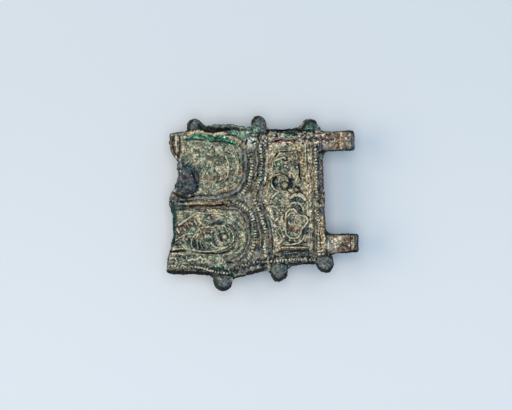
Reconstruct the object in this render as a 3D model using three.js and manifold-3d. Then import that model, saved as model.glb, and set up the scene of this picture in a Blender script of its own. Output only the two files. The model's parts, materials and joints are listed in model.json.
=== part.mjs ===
// Buckle shank: the strap plate of an ancient belt buckle, cast in copper alloy.
// It carries two engraved bezels, a scroll strip, moulded rolls and beaded borders,
// six lobes on its edges, two hinge lugs and three strap loops at the back.
// Millimetres, +Z up. The origin is the middle of the plan, at the feet of the loops.
// +X points to the hinge, and the face of the plate looks up.

import * as THREE from 'three';
import { mergeVertices } from 'three/addons/utils/BufferGeometryUtils.js';
import Module from 'manifold-3d';

const wasm = await Module();
wasm.setup();

// Plan of the plate
const PLATE_LENGTH = 38.45;
const HALF_WIDTH = 20.75;
const LUG_REACH = 7.85;
const LEFT = -(PLATE_LENGTH + LUG_REACH) / 2;
const RIGHT = LEFT + PLATE_LENGTH;

// Heights
const LOOP_HEIGHT = 5.5;
const PLATE_THICKNESS = 1.6;
const PLATE_TOP = LOOP_HEIGHT + PLATE_THICKNESS;
const EDGE_BEVEL = 0.5;
const FIELD_RISE = 0.35;
const FIELD_TOP = PLATE_TOP + FIELD_RISE;
const LINE_RISE = 0.32;
const LINE_WIDTH = 0.5;
const FUSE_DEPTH = 0.1;
const OVERRUN = 1;

// Gap between neighbouring strips of moulding
const STRIP_GAP = 0.22;

// Mouldings at the hinge side, counted inwards from the edge
const RIM_WIDTH = 1.1;
const RIM_RISE = 1.15;
const HINGE_BEAD_WIDTH = 0.85;
const HINGE_ROLL_WIDTH = 0.6;
const HINGE_ROLL_RISE = 0.7;
const STRIP_FIELD_WIDTH = 9.4;

// Mouldings between the strip and the bezels
const DIVIDER_ROLL_WIDTH = 1.1;
const DIVIDER_BEAD_WIDTH = 0.95;
const INNER_ROLL_WIDTH = 0.9;
const BEZEL_BEAD_WIDTH = 1.1;
const BEZEL_ROLL_WIDTH = 1.25;
const ROLL_RISE = 1.2;
const BEAD_RISE = 0.95;
const BEAD_PITCH = 0.68;
const WAIST_DEPTH = 1.9;
const ROUTE_STEP = 0.9;
const LINE_STEP = 0.65;

// Mouldings between the two bezels
const RIB_Y = 0.5;
const RIB_WIDTH = 0.62;
const RIB_RISE = 0.8;

// Mouldings along the two long edges
const BORDER_ROLL_WIDTH = 0.9;
const BORDER_BEAD_WIDTH = 0.85;
const END_RIM_WIDTH = 0.9;
const END_RIM_RISE = 0.6;

// Lobes
const UPPER_END_LOBE_RADIUS = 1.75;
const UPPER_MIDDLE_LOBE_RADIUS = 1.7;
const UPPER_HINGE_LOBE_RADIUS = 1.9;
const LOWER_HINGE_LOBE_RADIUS = 2.05;
const LOWER_MIDDLE_LOBE_RADIUS = 2;
const LOWER_END_LOBE_RADIUS = 2.2;
const LOBE_RISE = 0.95;
const LOBE_MARGIN = 0.12;
const LOBE_FILLET = 0.6;
const LOBE_STEP = 0.45;

// Hinge lugs
const UPPER_LUG_WIDTH = 4.5;
const LOWER_LUG_WIDTH = 4.35;
const LUG_INNER_FILLET = 1.1;
const LUG_OUTER_FILLET = 0.45;
const BARREL_RADIUS = 2.1;
const AXLE_BORE_RADIUS = 0.95;
const AXLE_Z = LOOP_HEIGHT + PLATE_THICKNESS / 2;

// Strap loops
const LOOP_LENGTH = 5;
const LOOP_THICKNESS = 2.2;
const LOOP_FOOT = 2.4;
const LOOP_HOLE_RADIUS = 1;

// Corrosion lump
const LUMP_LENGTH = 5.2;
const LUMP_WIDTH = 6.4;
const LUMP_RISE = 1.6;

// Cross-sections of a strip, as shares of its half width and of its rise
const ROUND_SECTION_SHARES = [[-1, 0], [-0.86, 0.52], [-0.5, 0.9], [0, 1], [0.5, 0.9], [0.86, 0.52], [1, 0]];
const BEAD_SECTION_SHARES = [[-1, 0], [-0.6, 1], [0.6, 1], [1, 0]];
const LINE_SECTION_SHARES = [[-1, 0], [0, 1], [1, 0]];

// Stations of the stack of mouldings across the plate
const rimX = RIGHT - RIM_WIDTH / 2;
const hingeBeadX = rimX - RIM_WIDTH / 2 - STRIP_GAP - HINGE_BEAD_WIDTH / 2;
const hingeRollX = hingeBeadX - HINGE_BEAD_WIDTH / 2 - STRIP_GAP - HINGE_ROLL_WIDTH / 2;
const stripRight = hingeRollX - HINGE_ROLL_WIDTH / 2 - STRIP_GAP;
const stripLeft = stripRight - STRIP_FIELD_WIDTH;
const dividerRollX = stripLeft - STRIP_GAP - DIVIDER_ROLL_WIDTH / 2;
const dividerBeadX = dividerRollX - DIVIDER_ROLL_WIDTH / 2 - STRIP_GAP - DIVIDER_BEAD_WIDTH / 2;
const innerRollX = dividerBeadX - DIVIDER_BEAD_WIDTH / 2 - STRIP_GAP - INNER_ROLL_WIDTH / 2;
const bezelBeadX = innerRollX - INNER_ROLL_WIDTH / 2 - STRIP_GAP - BEZEL_BEAD_WIDTH / 2;
const bezelRollX = bezelBeadX - BEZEL_BEAD_WIDTH / 2 - STRIP_GAP - BEZEL_ROLL_WIDTH / 2;
const BEZEL_LENGTH = bezelRollX - LEFT;

// Stations of the bezels between the middle rib and the long edges
const legOffset = RIB_WIDTH / 2 + STRIP_GAP + BEZEL_ROLL_WIDTH / 2;
const upperLegY = RIB_Y + legOffset;
const lowerLegY = RIB_Y - legOffset;
const UPPER_RIM_SHARE = 0.848;
const LOWER_TOE_SHARE = -0.67;
const upperRimY = UPPER_RIM_SHARE * HALF_WIDTH;
const lowerToeY = LOWER_TOE_SHARE * HALF_WIDTH;

// Places on the plan, from shares of the plate, of a bezel or of the strip
const onPlate = ([x, y]) => new THREE.Vector2(LEFT + x * PLATE_LENGTH, y * HALF_WIDTH);
const onUpperBezel = ([x, y]) => new THREE.Vector2(
  LEFT + x * BEZEL_LENGTH, upperLegY + y * (upperRimY - upperLegY));
const onLowerBezel = ([x, y]) => new THREE.Vector2(
  LEFT + x * BEZEL_LENGTH, lowerLegY + y * (lowerToeY - lowerLegY));
const onFoot = ([x, y]) => new THREE.Vector2(LEFT + x * BEZEL_LENGTH, y * HALF_WIDTH);
const onStrip = ([x, y]) => new THREE.Vector2(stripLeft + x * STRIP_FIELD_WIDTH, y * HALF_WIDTH);

// How far the divider leans towards the bezels, by the share of the half width
const WAIST_SHARES = [
  [0.67, 0], [0.48, 0], [0.386, 0.1], [0.313, 0.26], [0.241, 0.5], [0.193, 0.7], [0.12, 0.88],
  [0.048, 1], [0, 0.96], [-0.048, 0.8], [-0.12, 0.52], [-0.193, 0.22], [-0.289, 0.05], [-0.386, 0],
  [-0.63, 0],
];

// The part of the waist line between two heights, moved to the station x
function waistLine(x, fromShare, toShare) {
  const points = WAIST_SHARES.map(([y, lean]) => (
    new THREE.Vector2(x - lean * WAIST_DEPTH, y * HALF_WIDTH)));
  const fine = new THREE.SplineCurve(points).getSpacedPoints(points.length * points.length);
  return fine.filter((point) => (
    point.y <= fromShare * HALF_WIDTH && point.y >= toShare * HALF_WIDTH));
}

// Solids and geometries
function toSolid(geometry) {
  const bare = geometry.clone();
  bare.deleteAttribute('normal');
  bare.deleteAttribute('uv');
  const merged = mergeVertices(bare);
  return new wasm.Manifold(new wasm.Mesh({
    numProp: 3,
    vertProperties: Float32Array.from(merged.attributes.position.array),
    triVerts: Uint32Array.from(merged.index.array),
  }));
}

function toGeometry(solid) {
  const mesh = solid.getMesh();
  const geometry = new THREE.BufferGeometry();
  geometry.setAttribute('position', new THREE.BufferAttribute(mesh.vertProperties, 3));
  geometry.setIndex(new THREE.BufferAttribute(mesh.triVerts, 1));
  geometry.computeVertexNormals();
  return geometry;
}

// A route of even steps on a smooth curve through the points
function smoothRoute(points, step = ROUTE_STEP) {
  const curve = new THREE.SplineCurve(points);
  const count = Math.max(2, Math.round(curve.getLength() / step));
  return curve.getSpacedPoints(count);
}

function direction(route, index) {
  const before = route[Math.max(index - 1, 0)];
  const after = route[Math.min(index + 1, route.length - 1)];
  return after.clone().sub(before).normalize();
}

// The route moved to the left of its own direction, without the points that a bend
// brings too near to the route
const NEAR_SHARE = 0.97;
function besideRoute(route, distance) {
  const moved = route.map((point, index) => {
    const along = direction(route, index);
    return new THREE.Vector2(point.x - along.y * distance, point.y + along.x * distance);
  });
  return moved.filter((point) => (
    route.every((other) => point.distanceTo(other) > Math.abs(distance) * NEAR_SHARE)));
}

// A strip of moulding: one cross-section carried along a route. The size of each
// station is a pair of shares of the width and of the rise.
function strip(route, { width, rise, base = PLATE_TOP, section = ROUND_SECTION_SHARES, sizeAt }) {
  const positions = [];
  const index = [];
  route.forEach((point, station) => {
    const along = direction(route, station);
    const [wide, high] = sizeAt ? sizeAt(station / (route.length - 1), station) : [1, 1];
    section.forEach(([across, up]) => {
      const side = across * wide * width / 2;
      positions.push(point.x + along.y * side, point.y - along.x * side, base + up * high * rise);
    });
  });
  const size = section.length;
  for (let station = 0; station < route.length - 1; station += 1) {
    for (let corner = 0; corner < size; corner += 1) {
      const a = station * size + corner;
      const b = station * size + (corner + 1) % size;
      index.push(a, b, a + size, b, b + size, a + size);
    }
  }
  const last = (route.length - 1) * size;
  for (let corner = 1; corner < size - 1; corner += 1) {
    index.push(0, corner + 1, corner);
    index.push(last, last + corner, last + corner + 1);
  }
  const geometry = new THREE.BufferGeometry();
  geometry.setAttribute('position', new THREE.Float32BufferAttribute(positions, 3));
  geometry.setIndex(index);
  geometry.computeVertexNormals();
  return geometry;
}

// Ends that close in a round tip, over a share of the length
const TIP_SHARE = 0.06;
const TIP_END_SHARE = 0.45;
function roundTips(place) {
  const nearest = Math.min(place, 1 - place) / TIP_SHARE;
  const round = nearest >= 1 ? 1 : Math.sqrt(nearest * (2 - nearest));
  const share = TIP_END_SHARE + (1 - TIP_END_SHARE) * round;
  return [share, share];
}

// Transverse beads: each has a groove, where its crest starts and where it ends
const BEAD_STATION_SHARES = [0, 0.3, 0.7];
const GROOVE_WIDTH_SHARE = 0.8;
const GROOVE_RISE_SHARE = 0.42;

const BEAD_FORM = { rise: BEAD_RISE, grooveWide: GROOVE_WIDTH_SHARE, grooveHigh: GROOVE_RISE_SHARE };
function beadRow(points, width, { rise, grooveWide, grooveHigh } = BEAD_FORM) {
  const curve = new THREE.SplineCurve(points);
  const beads = Math.max(1, Math.round(curve.getLength() / BEAD_PITCH));
  const route = [];
  for (let bead = 0; bead < beads; bead += 1) {
    BEAD_STATION_SHARES.forEach((share) => route.push(curve.getPointAt((bead + share) / beads)));
  }
  route.push(curve.getPointAt(1));
  const sizeAt = (place, station) => (
    station % BEAD_STATION_SHARES.length === 0 ? [grooveWide, grooveHigh] : [1, 1]);
  return strip(route, { width, rise, section: BEAD_SECTION_SHARES, sizeAt });
}

// Raised lines and bosses on a field
function raisedLine(route, width = LINE_WIDTH) {
  return strip(route, {
    width, rise: LINE_RISE + FUSE_DEPTH, base: FIELD_TOP - FUSE_DEPTH, section: LINE_SECTION_SHARES,
  });
}
const line = (points) => raisedLine(smoothRoute(points, LINE_STEP));

const RING_STEPS = 14;
const RING_OPENING_SHARE = 0.08;
function ring(centre, radius) {
  const points = [];
  for (let step = 0; step <= RING_STEPS; step += 1) {
    const turn = (step / RING_STEPS) * (1 - RING_OPENING_SHARE) * Math.PI * 2;
    points.push(new THREE.Vector2(
      centre.x + radius * Math.cos(turn), centre.y + radius * Math.sin(turn)));
  }
  return raisedLine(points);
}

const BOSS_SIDES = 10;
const BOSS_RINGS = 4;
function boss(centre, radius) {
  const ball = new THREE.SphereGeometry(radius, BOSS_SIDES, BOSS_RINGS);
  ball.rotateX(Math.PI / 2);
  ball.scale(1, 1, (LINE_RISE + FUSE_DEPTH) / radius);
  ball.translate(centre.x, centre.y, FIELD_TOP - FUSE_DEPTH);
  return ball;
}

// A flat field with its raised ornament, trimmed to the outline of the field and
// left out under a cover
function field(outline, ornaments, cover) {
  const shape = new THREE.Shape(outline);
  const plaque = new THREE.ExtrudeGeometry(shape, { depth: FIELD_RISE, bevelEnabled: false });
  plaque.translate(0, 0, PLATE_TOP);
  const depth = FIELD_RISE + LINE_RISE + OVERRUN;
  const tall = new THREE.ExtrudeGeometry(shape, { depth, bevelEnabled: false });
  tall.translate(0, 0, PLATE_TOP);
  const raised = ornaments.map(toSolid).reduce((sum, one) => sum.add(one)).intersect(toSolid(tall));
  return toGeometry(toSolid(plaque).add(cover ? raised.subtract(cover) : raised));
}

// Finishes
const finishes = {
  field: new THREE.MeshStandardMaterial({ color: 0x77785c, roughness: 0.75, metalness: 0.25 }),
  roll: new THREE.MeshStandardMaterial({ color: 0x55505a, roughness: 0.55, metalness: 0.4 }),
  bead: new THREE.MeshStandardMaterial({ color: 0x9a9472, roughness: 0.65, metalness: 0.3 }),
  dark: new THREE.MeshStandardMaterial({ color: 0x3b434b, roughness: 0.6, metalness: 0.4 }),
  tan: new THREE.MeshStandardMaterial({ color: 0xa08a66, roughness: 0.7, metalness: 0.25 }),
  lug: new THREE.MeshStandardMaterial({ color: 0x6b6259, roughness: 0.7, metalness: 0.3 }),
  lump: new THREE.MeshStandardMaterial({ color: 0x3c3a44, roughness: 0.5, metalness: 0.2 }),
};

const shank = new THREE.Group();
function addPart(name, geometry, finish) {
  const mesh = new THREE.Mesh(geometry, finishes[finish]);
  mesh.name = name;
  shank.add(mesh);
}

// Lobes, in the order that the outline passes them: place along the plate, tip across
// it, radius, where the plate's edge meets each side, and where the cap starts
const LOBES = [
  ['lobe_upper_end', 0.212, 1, UPPER_END_LOBE_RADIUS, [0.855, 0.918], 0.88],
  ['lobe_upper_middle', 0.6125, 1, UPPER_MIDDLE_LOBE_RADIUS, [0.88, 0.85], 0.81],
  ['lobe_upper_hinge', 0.93, 0.942, UPPER_HINGE_LOBE_RADIUS, [0.85, 0.83], 0.815],
  ['lobe_lower_hinge', 0.986, -0.843, LOWER_HINGE_LOBE_RADIUS, [-0.65, -0.735], -0.665],
  ['lobe_lower_middle', 0.701, -0.9205, LOWER_MIDDLE_LOBE_RADIUS, [-0.757, -0.79], -0.725],
  ['lobe_lower_end', 0.347, -1, LOWER_END_LOBE_RADIUS, [-0.865, -0.825], -0.825],
].map(([name, xShare, tipShare, radius, footShares, capShare]) => (
  { name, xShare, tipShare, radius, footShares, capShare }));
const EAR_STEPS = 8;

function lobeCentre({ xShare, tipShare, radius }) {
  const tip = onPlate([xShare, tipShare]);
  return new THREE.Vector2(tip.x, tip.y - Math.sign(tipShare) * radius);
}

// The outline of one ear, from its first foot round the tip to its second foot
function ear(lobe) {
  const centre = lobeCentre(lobe);
  const side = Math.sign(lobe.tipShare);
  const [firstY, secondY] = lobe.footShares.map((share) => share * HALF_WIDTH);
  const reach = lobe.radius + LOBE_FILLET;
  const points = [new THREE.Vector2(centre.x - side * reach, firstY)];
  points.push(new THREE.Vector2(centre.x - side * lobe.radius, firstY + side * LOBE_FILLET));
  for (let step = 0; step <= EAR_STEPS; step += 1) {
    const turn = Math.PI * (1 - step / EAR_STEPS);
    points.push(new THREE.Vector2(
      centre.x + side * lobe.radius * Math.cos(turn), centre.y + side * lobe.radius * Math.sin(turn)));
  }
  points.push(new THREE.Vector2(centre.x + side * lobe.radius, secondY + side * LOBE_FILLET));
  points.push(new THREE.Vector2(centre.x + side * reach, secondY));
  return points;
}

// The ear at the lower hinge corner bulges past the plate's hinge edge, so it is an
// arc that starts on that edge
const CORNER_TURN = Math.PI * 0.42;
function cornerEar(lobe) {
  const centre = lobeCentre(lobe);
  const points = [];
  for (let step = 0; step <= EAR_STEPS; step += 1) {
    const turn = CORNER_TURN - (Math.PI + CORNER_TURN) * (step / EAR_STEPS);
    points.push(new THREE.Vector2(
      centre.x + lobe.radius * Math.cos(turn), centre.y + lobe.radius * Math.sin(turn)));
  }
  return points;
}

// Stretches of the plate's edge between the ears, as shares of the plate
const UPPER_CORNER_SHARES = [[0.053, 0.79], [0.056, 0.829], [0.066, 0.845]];
const UPPER_EDGE_SHARES = [[0.342, 0.923], [0.394, 0.9205], [0.472, 0.901]];
const UPPER_HINGE_EDGE_SHARES = [[0.758, 0.834], [0.81, 0.839]];
const HINGE_EDGE_SHARES = [[1, 0.812], [1, -0.642]];
const LOWER_HINGE_EDGE_SHARES = [[0.862, -0.7325], [0.81, -0.742]];
const LOWER_MIDDLE_EDGE_SHARES = [[0.55, -0.8145], [0.498, -0.834], [0.45, -0.853]];
const LOWER_END_EDGE_SHARES = [[0.212, -0.805], [0.082, -0.7855], [0.02, -0.777]];
const BROKEN_EDGE_SHARES = [
  [0, -0.75], [0.004, -0.699], [0.014, -0.578], [0.022, -0.506], [0.0325, -0.434], [0.043, -0.386],
  [0.051, -0.337], [0.0455, -0.265], [0.049, -0.19], [0.048, -0.1205], [0.04, -0.024], [0.0325, 0.024],
  [0.035, 0.096], [0.0455, 0.154], [0.066, 0.183], [0.074, 0.2025], [0.069, 0.241], [0.082, 0.27],
  [0.087, 0.313], [0.0975, 0.3615], [0.092, 0.424], [0.09, 0.472], [0.0975, 0.5205], [0.082, 0.549],
  [0.066, 0.598], [0.056, 0.665], [0.051, 0.733],
];

const LEAST_STEP = 0.2;
function plateOutline() {
  const [upperEnd, upperMiddle, upperHinge, lowerHinge, lowerMiddle, lowerEnd] = LOBES;
  const points = [
    ...UPPER_CORNER_SHARES.map(onPlate), ...ear(upperEnd), ...UPPER_EDGE_SHARES.map(onPlate),
    ...ear(upperMiddle), ...UPPER_HINGE_EDGE_SHARES.map(onPlate), ...ear(upperHinge),
    ...HINGE_EDGE_SHARES.map(onPlate), ...cornerEar(lowerHinge), ...LOWER_HINGE_EDGE_SHARES.map(onPlate),
    ...ear(lowerMiddle), ...LOWER_MIDDLE_EDGE_SHARES.map(onPlate), ...ear(lowerEnd),
    ...LOWER_END_EDGE_SHARES.map(onPlate), ...BROKEN_EDGE_SHARES.map(onPlate),
  ].reverse();
  return points.filter((point, index) => (
    point.distanceTo(points[(index + 1) % points.length]) > LEAST_STEP));
}

// The plate: its walls stand upright up to a bevel, and the hinge edge has no bevel,
// so that the lugs butt on a flat face
function basePlate() {
  const outline = plateOutline();
  const count = outline.length;
  const hingeSide = (point) => Math.abs(point.x - RIGHT) < FUSE_DEPTH * FUSE_DEPTH;
  const inner = outline.map((point, index) => {
    const before = outline[(index - 1 + count) % count];
    const after = outline[(index + 1) % count];
    const along = after.clone().sub(before).normalize();
    const inset = hingeSide(point) ? 0 : EDGE_BEVEL;
    return new THREE.Vector2(point.x - along.y * inset, point.y + along.x * inset);
  });
  const levels = [[outline, LOOP_HEIGHT], [outline, PLATE_TOP - EDGE_BEVEL], [inner, PLATE_TOP]];
  const positions = levels.flatMap(([ring, z]) => ring.flatMap((point) => [point.x, point.y, z]));
  const index = [];
  for (let level = 0; level < levels.length - 1; level += 1) {
    for (let corner = 0; corner < count; corner += 1) {
      const a = level * count + corner;
      const b = level * count + (corner + 1) % count;
      index.push(a, b, a + count, b, b + count, a + count);
    }
  }
  THREE.ShapeUtils.triangulateShape(outline, []).forEach(([a, b, c]) => index.push(a, c, b));
  const top = (levels.length - 1) * count;
  THREE.ShapeUtils.triangulateShape(inner, []).forEach(([a, b, c]) => index.push(top + a, top + b, top + c));
  const geometry = new THREE.BufferGeometry();
  geometry.setAttribute('position', new THREE.Float32BufferAttribute(positions, 3));
  geometry.setIndex(index);
  geometry.computeVertexNormals();
  return geometry;
}
const plate = basePlate();
addPart('base_plate', plate, 'dark');

// Lobe caps: a half-round swelling on each ear, closed by a round tip
LOBES.forEach((lobe) => {
  const centre = lobeCentre(lobe);
  const side = Math.sign(lobe.tipShare);
  const radius = lobe.radius - LOBE_MARGIN;
  const foot = new THREE.Vector2(centre.x, lobe.capShare * HALF_WIDTH);
  const tip = new THREE.Vector2(centre.x, centre.y + side * radius);
  const length = foot.distanceTo(tip);
  const count = Math.round(length / LOBE_STEP);
  const route = Array.from({ length: count + 1 }, (_, step) => (
    foot.clone().lerp(tip, Math.sin((step / count) * Math.PI / 2))));
  const sizeAt = (place) => {
    const fromTip = (1 - Math.sin(place * Math.PI / 2)) * length;
    const open = Math.min(fromTip / radius, 1);
    const share = Math.max(Math.sqrt(open * (2 - open)), LOBE_MARGIN);
    return [share, Math.sqrt(share)];
  };
  addPart(lobe.name, strip(route, { width: radius * 2, rise: LOBE_RISE, sizeAt }), 'dark');
});

// Mouldings at the hinge side
const upright = (x, fromShare, toShare) => [
  new THREE.Vector2(x, fromShare * HALF_WIDTH),
  new THREE.Vector2(x, (fromShare + toShare) / 2 * HALF_WIDTH),
  new THREE.Vector2(x, toShare * HALF_WIDTH),
];
const hingeRim = smoothRoute(upright(rimX, 0.74, -0.632));
addPart('hinge_side_rim', strip(hingeRim, { width: RIM_WIDTH, rise: RIM_RISE, sizeAt: roundTips }), 'dark');
addPart('hinge_side_beads', beadRow(upright(hingeBeadX, 0.705, -0.64), HINGE_BEAD_WIDTH), 'bead');
const hingeRoll = smoothRoute(upright(hingeRollX, 0.705, -0.625));
addPart('hinge_side_roll', strip(hingeRoll, {
  width: HINGE_ROLL_WIDTH, rise: HINGE_ROLL_RISE, section: BEAD_SECTION_SHARES, sizeAt: roundTips,
}), 'roll');

// Mouldings of the divider between the strip and the bezels
addPart('divider_roll', strip(smoothRoute(waistLine(dividerRollX, 0.655, -0.61)), {
  width: DIVIDER_ROLL_WIDTH, rise: ROLL_RISE, sizeAt: roundTips,
}), 'roll');
addPart('divider_beads', beadRow(waistLine(dividerBeadX, 0.67, -0.625), DIVIDER_BEAD_WIDTH), 'bead');
addPart('inner_roll_upper', strip(smoothRoute(waistLine(innerRollX, 0.63, 0.262)), {
  width: INNER_ROLL_WIDTH, rise: ROLL_RISE, sizeAt: roundTips,
}), 'roll');
addPart('inner_roll_lower', strip(smoothRoute(waistLine(innerRollX, -0.135, -0.54)), {
  width: INNER_ROLL_WIDTH, rise: ROLL_RISE, sizeAt: roundTips,
}), 'roll');

// Upper bezel: a tan rim along the long edge, a dark roll round the other sides, and
// a row of beads outside the roll
const UPPER_RIM_SHARES = [
  [0.32, 0.985], [0.46, 1], [0.56, 0.975], [0.66, 0.963], [0.76, 0.944], [0.837, 0.894], [0.912, 0.844],
  [0.962, 0.79],
];
const UPPER_ROLL_SHARES = [
  [0.997, 0.7], [0.998, 0.526], [0.992, 0.402], [0.975, 0.277], [0.947, 0.196], [0.902, 0.121],
  [0.812, 0.059], [0.711, 0.022], [0.61, 0.003], [0.36, 0], [0.1, 0],
];
const upperRimRoute = smoothRoute(UPPER_RIM_SHARES.map(onUpperBezel));
const upperRollRoute = smoothRoute(UPPER_ROLL_SHARES.map(onUpperBezel));
const beadOffset = BEZEL_ROLL_WIDTH / 2 + STRIP_GAP + BEZEL_BEAD_WIDTH / 2;
addPart('upper_bezel_rim', strip(upperRimRoute, {
  width: RIM_WIDTH, rise: RIB_RISE, sizeAt: roundTips,
}), 'tan');
const upperRoll = strip(upperRollRoute, { width: BEZEL_ROLL_WIDTH, rise: ROLL_RISE, sizeAt: roundTips });
addPart('upper_bezel_roll', upperRoll, 'roll');
const UPPER_BEAD_END_SHARE = 0.016;
const upperBeadRoute = besideRoute(upperRollRoute, beadOffset).filter((point, index) => (
  index > 0 && point.y > upperLegY + UPPER_BEAD_END_SHARE * HALF_WIDTH));
addPart('upper_bezel_beads', beadRow(upperBeadRoute, BEZEL_BEAD_WIDTH), 'bead');

// Lower bezel: a roll that grows out of the middle rib, and its row of beads
const LOWER_ROLL_SHARES = [
  [0.3, 0], [0.5, 0], [0.711, 0.003], [0.837, 0.036], [0.912, 0.1], [0.962, 0.19], [0.992, 0.3], [1, 0.41],
  [1, 0.56], [0.987, 0.672], [0.962, 0.783], [0.912, 0.888], [0.852, 0.955], [0.77, 0.995],
];
const LOWER_ROLL_START_SHARE = 0.35;
const LOWER_ROLL_GROWTH_SHARE = 0.3;
const lowerRollRoute = smoothRoute(LOWER_ROLL_SHARES.map(onLowerBezel));
addPart('lower_bezel_roll', strip(lowerRollRoute, {
  width: BEZEL_ROLL_WIDTH,
  rise: ROLL_RISE,
  sizeAt: (place) => {
    const grown = Math.min(place / LOWER_ROLL_GROWTH_SHARE, 1);
    const share = LOWER_ROLL_START_SHARE + (1 - LOWER_ROLL_START_SHARE) * grown;
    const [tip] = roundTips(Math.max(place, TIP_SHARE));
    return [share * tip, share * tip];
  },
}), 'roll');
const LOWER_BEAD_START_SHARE = 0.84;
const lowerBeadRoute = besideRoute(lowerRollRoute, beadOffset).filter((point) => (
  point.x > LEFT + LOWER_BEAD_START_SHARE * BEZEL_LENGTH && point.y > LOWER_TOE_SHARE * HALF_WIDTH));
addPart('lower_bezel_beads', beadRow(lowerBeadRoute, BEZEL_BEAD_WIDTH), 'bead');

// The rib between the bezels
const RIB_END_SHARES = [0.085, 0.79];
const ribPoints = [RIB_END_SHARES[0], (RIB_END_SHARES[0] + RIB_END_SHARES[1]) / 2, RIB_END_SHARES[1]].map(
  (share) => new THREE.Vector2(LEFT + share * BEZEL_LENGTH, RIB_Y));
const RIB_GROOVE_SHARE = 0.75;
addPart('middle_rib', beadRow(ribPoints, RIB_WIDTH, {
  rise: RIB_RISE, grooveWide: 1, grooveHigh: RIB_GROOVE_SHARE,
}), 'tan');

// Borders along the long edges, at the hinge end
const UPPER_BORDER_SHARES = [[0.12, 0.713], [0.5, 0.716], [0.93, 0.713]];
addPart('upper_border_roll', strip(smoothRoute(UPPER_BORDER_SHARES.map(onStrip)), {
  width: BORDER_ROLL_WIDTH, rise: HINGE_ROLL_RISE, sizeAt: roundTips,
}), 'roll');
addPart('upper_border_beads', beadRow(
  [[0.672, 0.776], [0.8, 0.774], [0.945, 0.776]].map(onPlate), BORDER_BEAD_WIDTH), 'bead');
const LOWER_BORDER_SHARES = [[0.19, -0.597], [0.5, -0.595], [0.94, -0.595]];
addPart('lower_border_roll', strip(smoothRoute(LOWER_BORDER_SHARES.map(onStrip)), {
  width: BORDER_ROLL_WIDTH, rise: ROLL_RISE, sizeAt: roundTips,
}), 'roll');
const LOWER_BEAD_SHARES = [[-0.54, -0.69], [-0.295, -0.682], [0.319, -0.68], [1.022, -0.678]];
addPart('lower_border_beads', beadRow(LOWER_BEAD_SHARES.map(onStrip), BORDER_BEAD_WIDTH), 'bead');
const FOOT_BEAD_SHARES = [
  [0.058, -0.692], [0.184, -0.7], [0.309, -0.709], [0.41, -0.723], [0.56, -0.766], [0.686, -0.79],
  [0.786, -0.766], [0.887, -0.728], [0.995, -0.7],
];
addPart('foot_beads', beadRow(FOOT_BEAD_SHARES.map(onFoot), BORDER_BEAD_WIDTH), 'bead');
const END_RIM_SHARES = [[0.186, 0.62], [0.153, 0.705], [0.144, 0.807], [0.148, 0.95]];
const endRimRoute = smoothRoute(END_RIM_SHARES.map(onUpperBezel));
addPart('end_rim', strip(endRimRoute, {
  width: END_RIM_WIDTH, rise: END_RIM_RISE, sizeAt: roundTips,
}), 'dark');

// Corrosion lump on the end of the upper bezel, which grew up to the roll
const LUMP_SHARES = [0.297, 0.275];
const LUMP_SINK_SHARE = 0.45;
const LUMP_DETAIL_STEPS = 3;
const LUMP_WAVE_SHARE = 0.09;
const LUMP_WAVE_COUNTS = [[5, 2, 0], [0, 4, -3], [3, 0, 4]];
function corrosionLump() {
  const ball = new THREE.IcosahedronGeometry(1, LUMP_DETAIL_STEPS);
  const place = ball.attributes.position;
  const point = new THREE.Vector3();
  for (let index = 0; index < place.count; index += 1) {
    point.fromBufferAttribute(place, index);
    const wave = LUMP_WAVE_COUNTS.reduce((sum, [x, y, z]) => (
      sum + Math.sin(point.x * x + point.y * y + point.z * z)), 0);
    point.multiplyScalar(1 + wave * LUMP_WAVE_SHARE);
    place.setXYZ(index, point.x, point.y, point.z);
  }
  const full = LUMP_RISE / (1 - LUMP_SINK_SHARE);
  ball.scale(LUMP_LENGTH / 2, LUMP_WIDTH / 2, full);
  const centre = onUpperBezel(LUMP_SHARES);
  ball.translate(centre.x, centre.y, FIELD_TOP - full * LUMP_SINK_SHARE);
  const ground = new THREE.BoxGeometry(LUMP_LENGTH * 2, LUMP_WIDTH * 2, full * 2);
  ground.translate(centre.x, centre.y, FIELD_TOP - full);
  return toSolid(ball).subtract(toSolid(ground)).subtract(toSolid(upperRoll));
}
const lump = corrosionLump();
addPart('corrosion_lump', toGeometry(lump), 'lump');

// Field of the upper bezel
const rollClearance = BEZEL_ROLL_WIDTH / 2 + STRIP_GAP;
const endRimClearance = END_RIM_WIDTH / 2 + STRIP_GAP;
const UPPER_FIELD_END_SHARES = [[0.11, 0.095], [0.188, 0.215], [0.219, 0.37], [0.22, 0.5]];
const upperBorderRoute = smoothRoute([...UPPER_RIM_SHARES, ...UPPER_ROLL_SHARES].map(onUpperBezel));
const upperFieldOutline = [
  ...besideRoute(upperBorderRoute, -rollClearance),
  ...UPPER_FIELD_END_SHARES.map(onUpperBezel),
  ...besideRoute(endRimRoute, -endRimClearance),
];
const UPPER_LINES_SHARES = [
  [[0.284, 0.857], [0.41, 0.863], [0.56, 0.85], [0.711, 0.838], [0.8, 0.795], [0.865, 0.72], [0.9, 0.63]],
  [[0.902, 0.6], [0.91, 0.526], [0.907, 0.402], [0.882, 0.308], [0.832, 0.22], [0.761, 0.165], [0.661, 0.115],
    [0.51, 0.09], [0.41, 0.095]],
  [[0.751, 0.713], [0.801, 0.664], [0.847, 0.639]],
  [[0.766, 0.589], [0.791, 0.526], [0.796, 0.433], [0.781, 0.352], [0.751, 0.296], [0.711, 0.252],
    [0.646, 0.234], [0.56, 0.252], [0.46, 0.271]],
  [[0.3, 0.539], [0.35, 0.57], [0.394, 0.607]],
  [[0.5, 0.46], [0.52, 0.4], [0.5, 0.36]],
];
const SMALL_RING_RADIUS = 1.5;
const DOT_RADIUS = 0.45;
const KNOB_RADIUS = 0.75;
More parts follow.
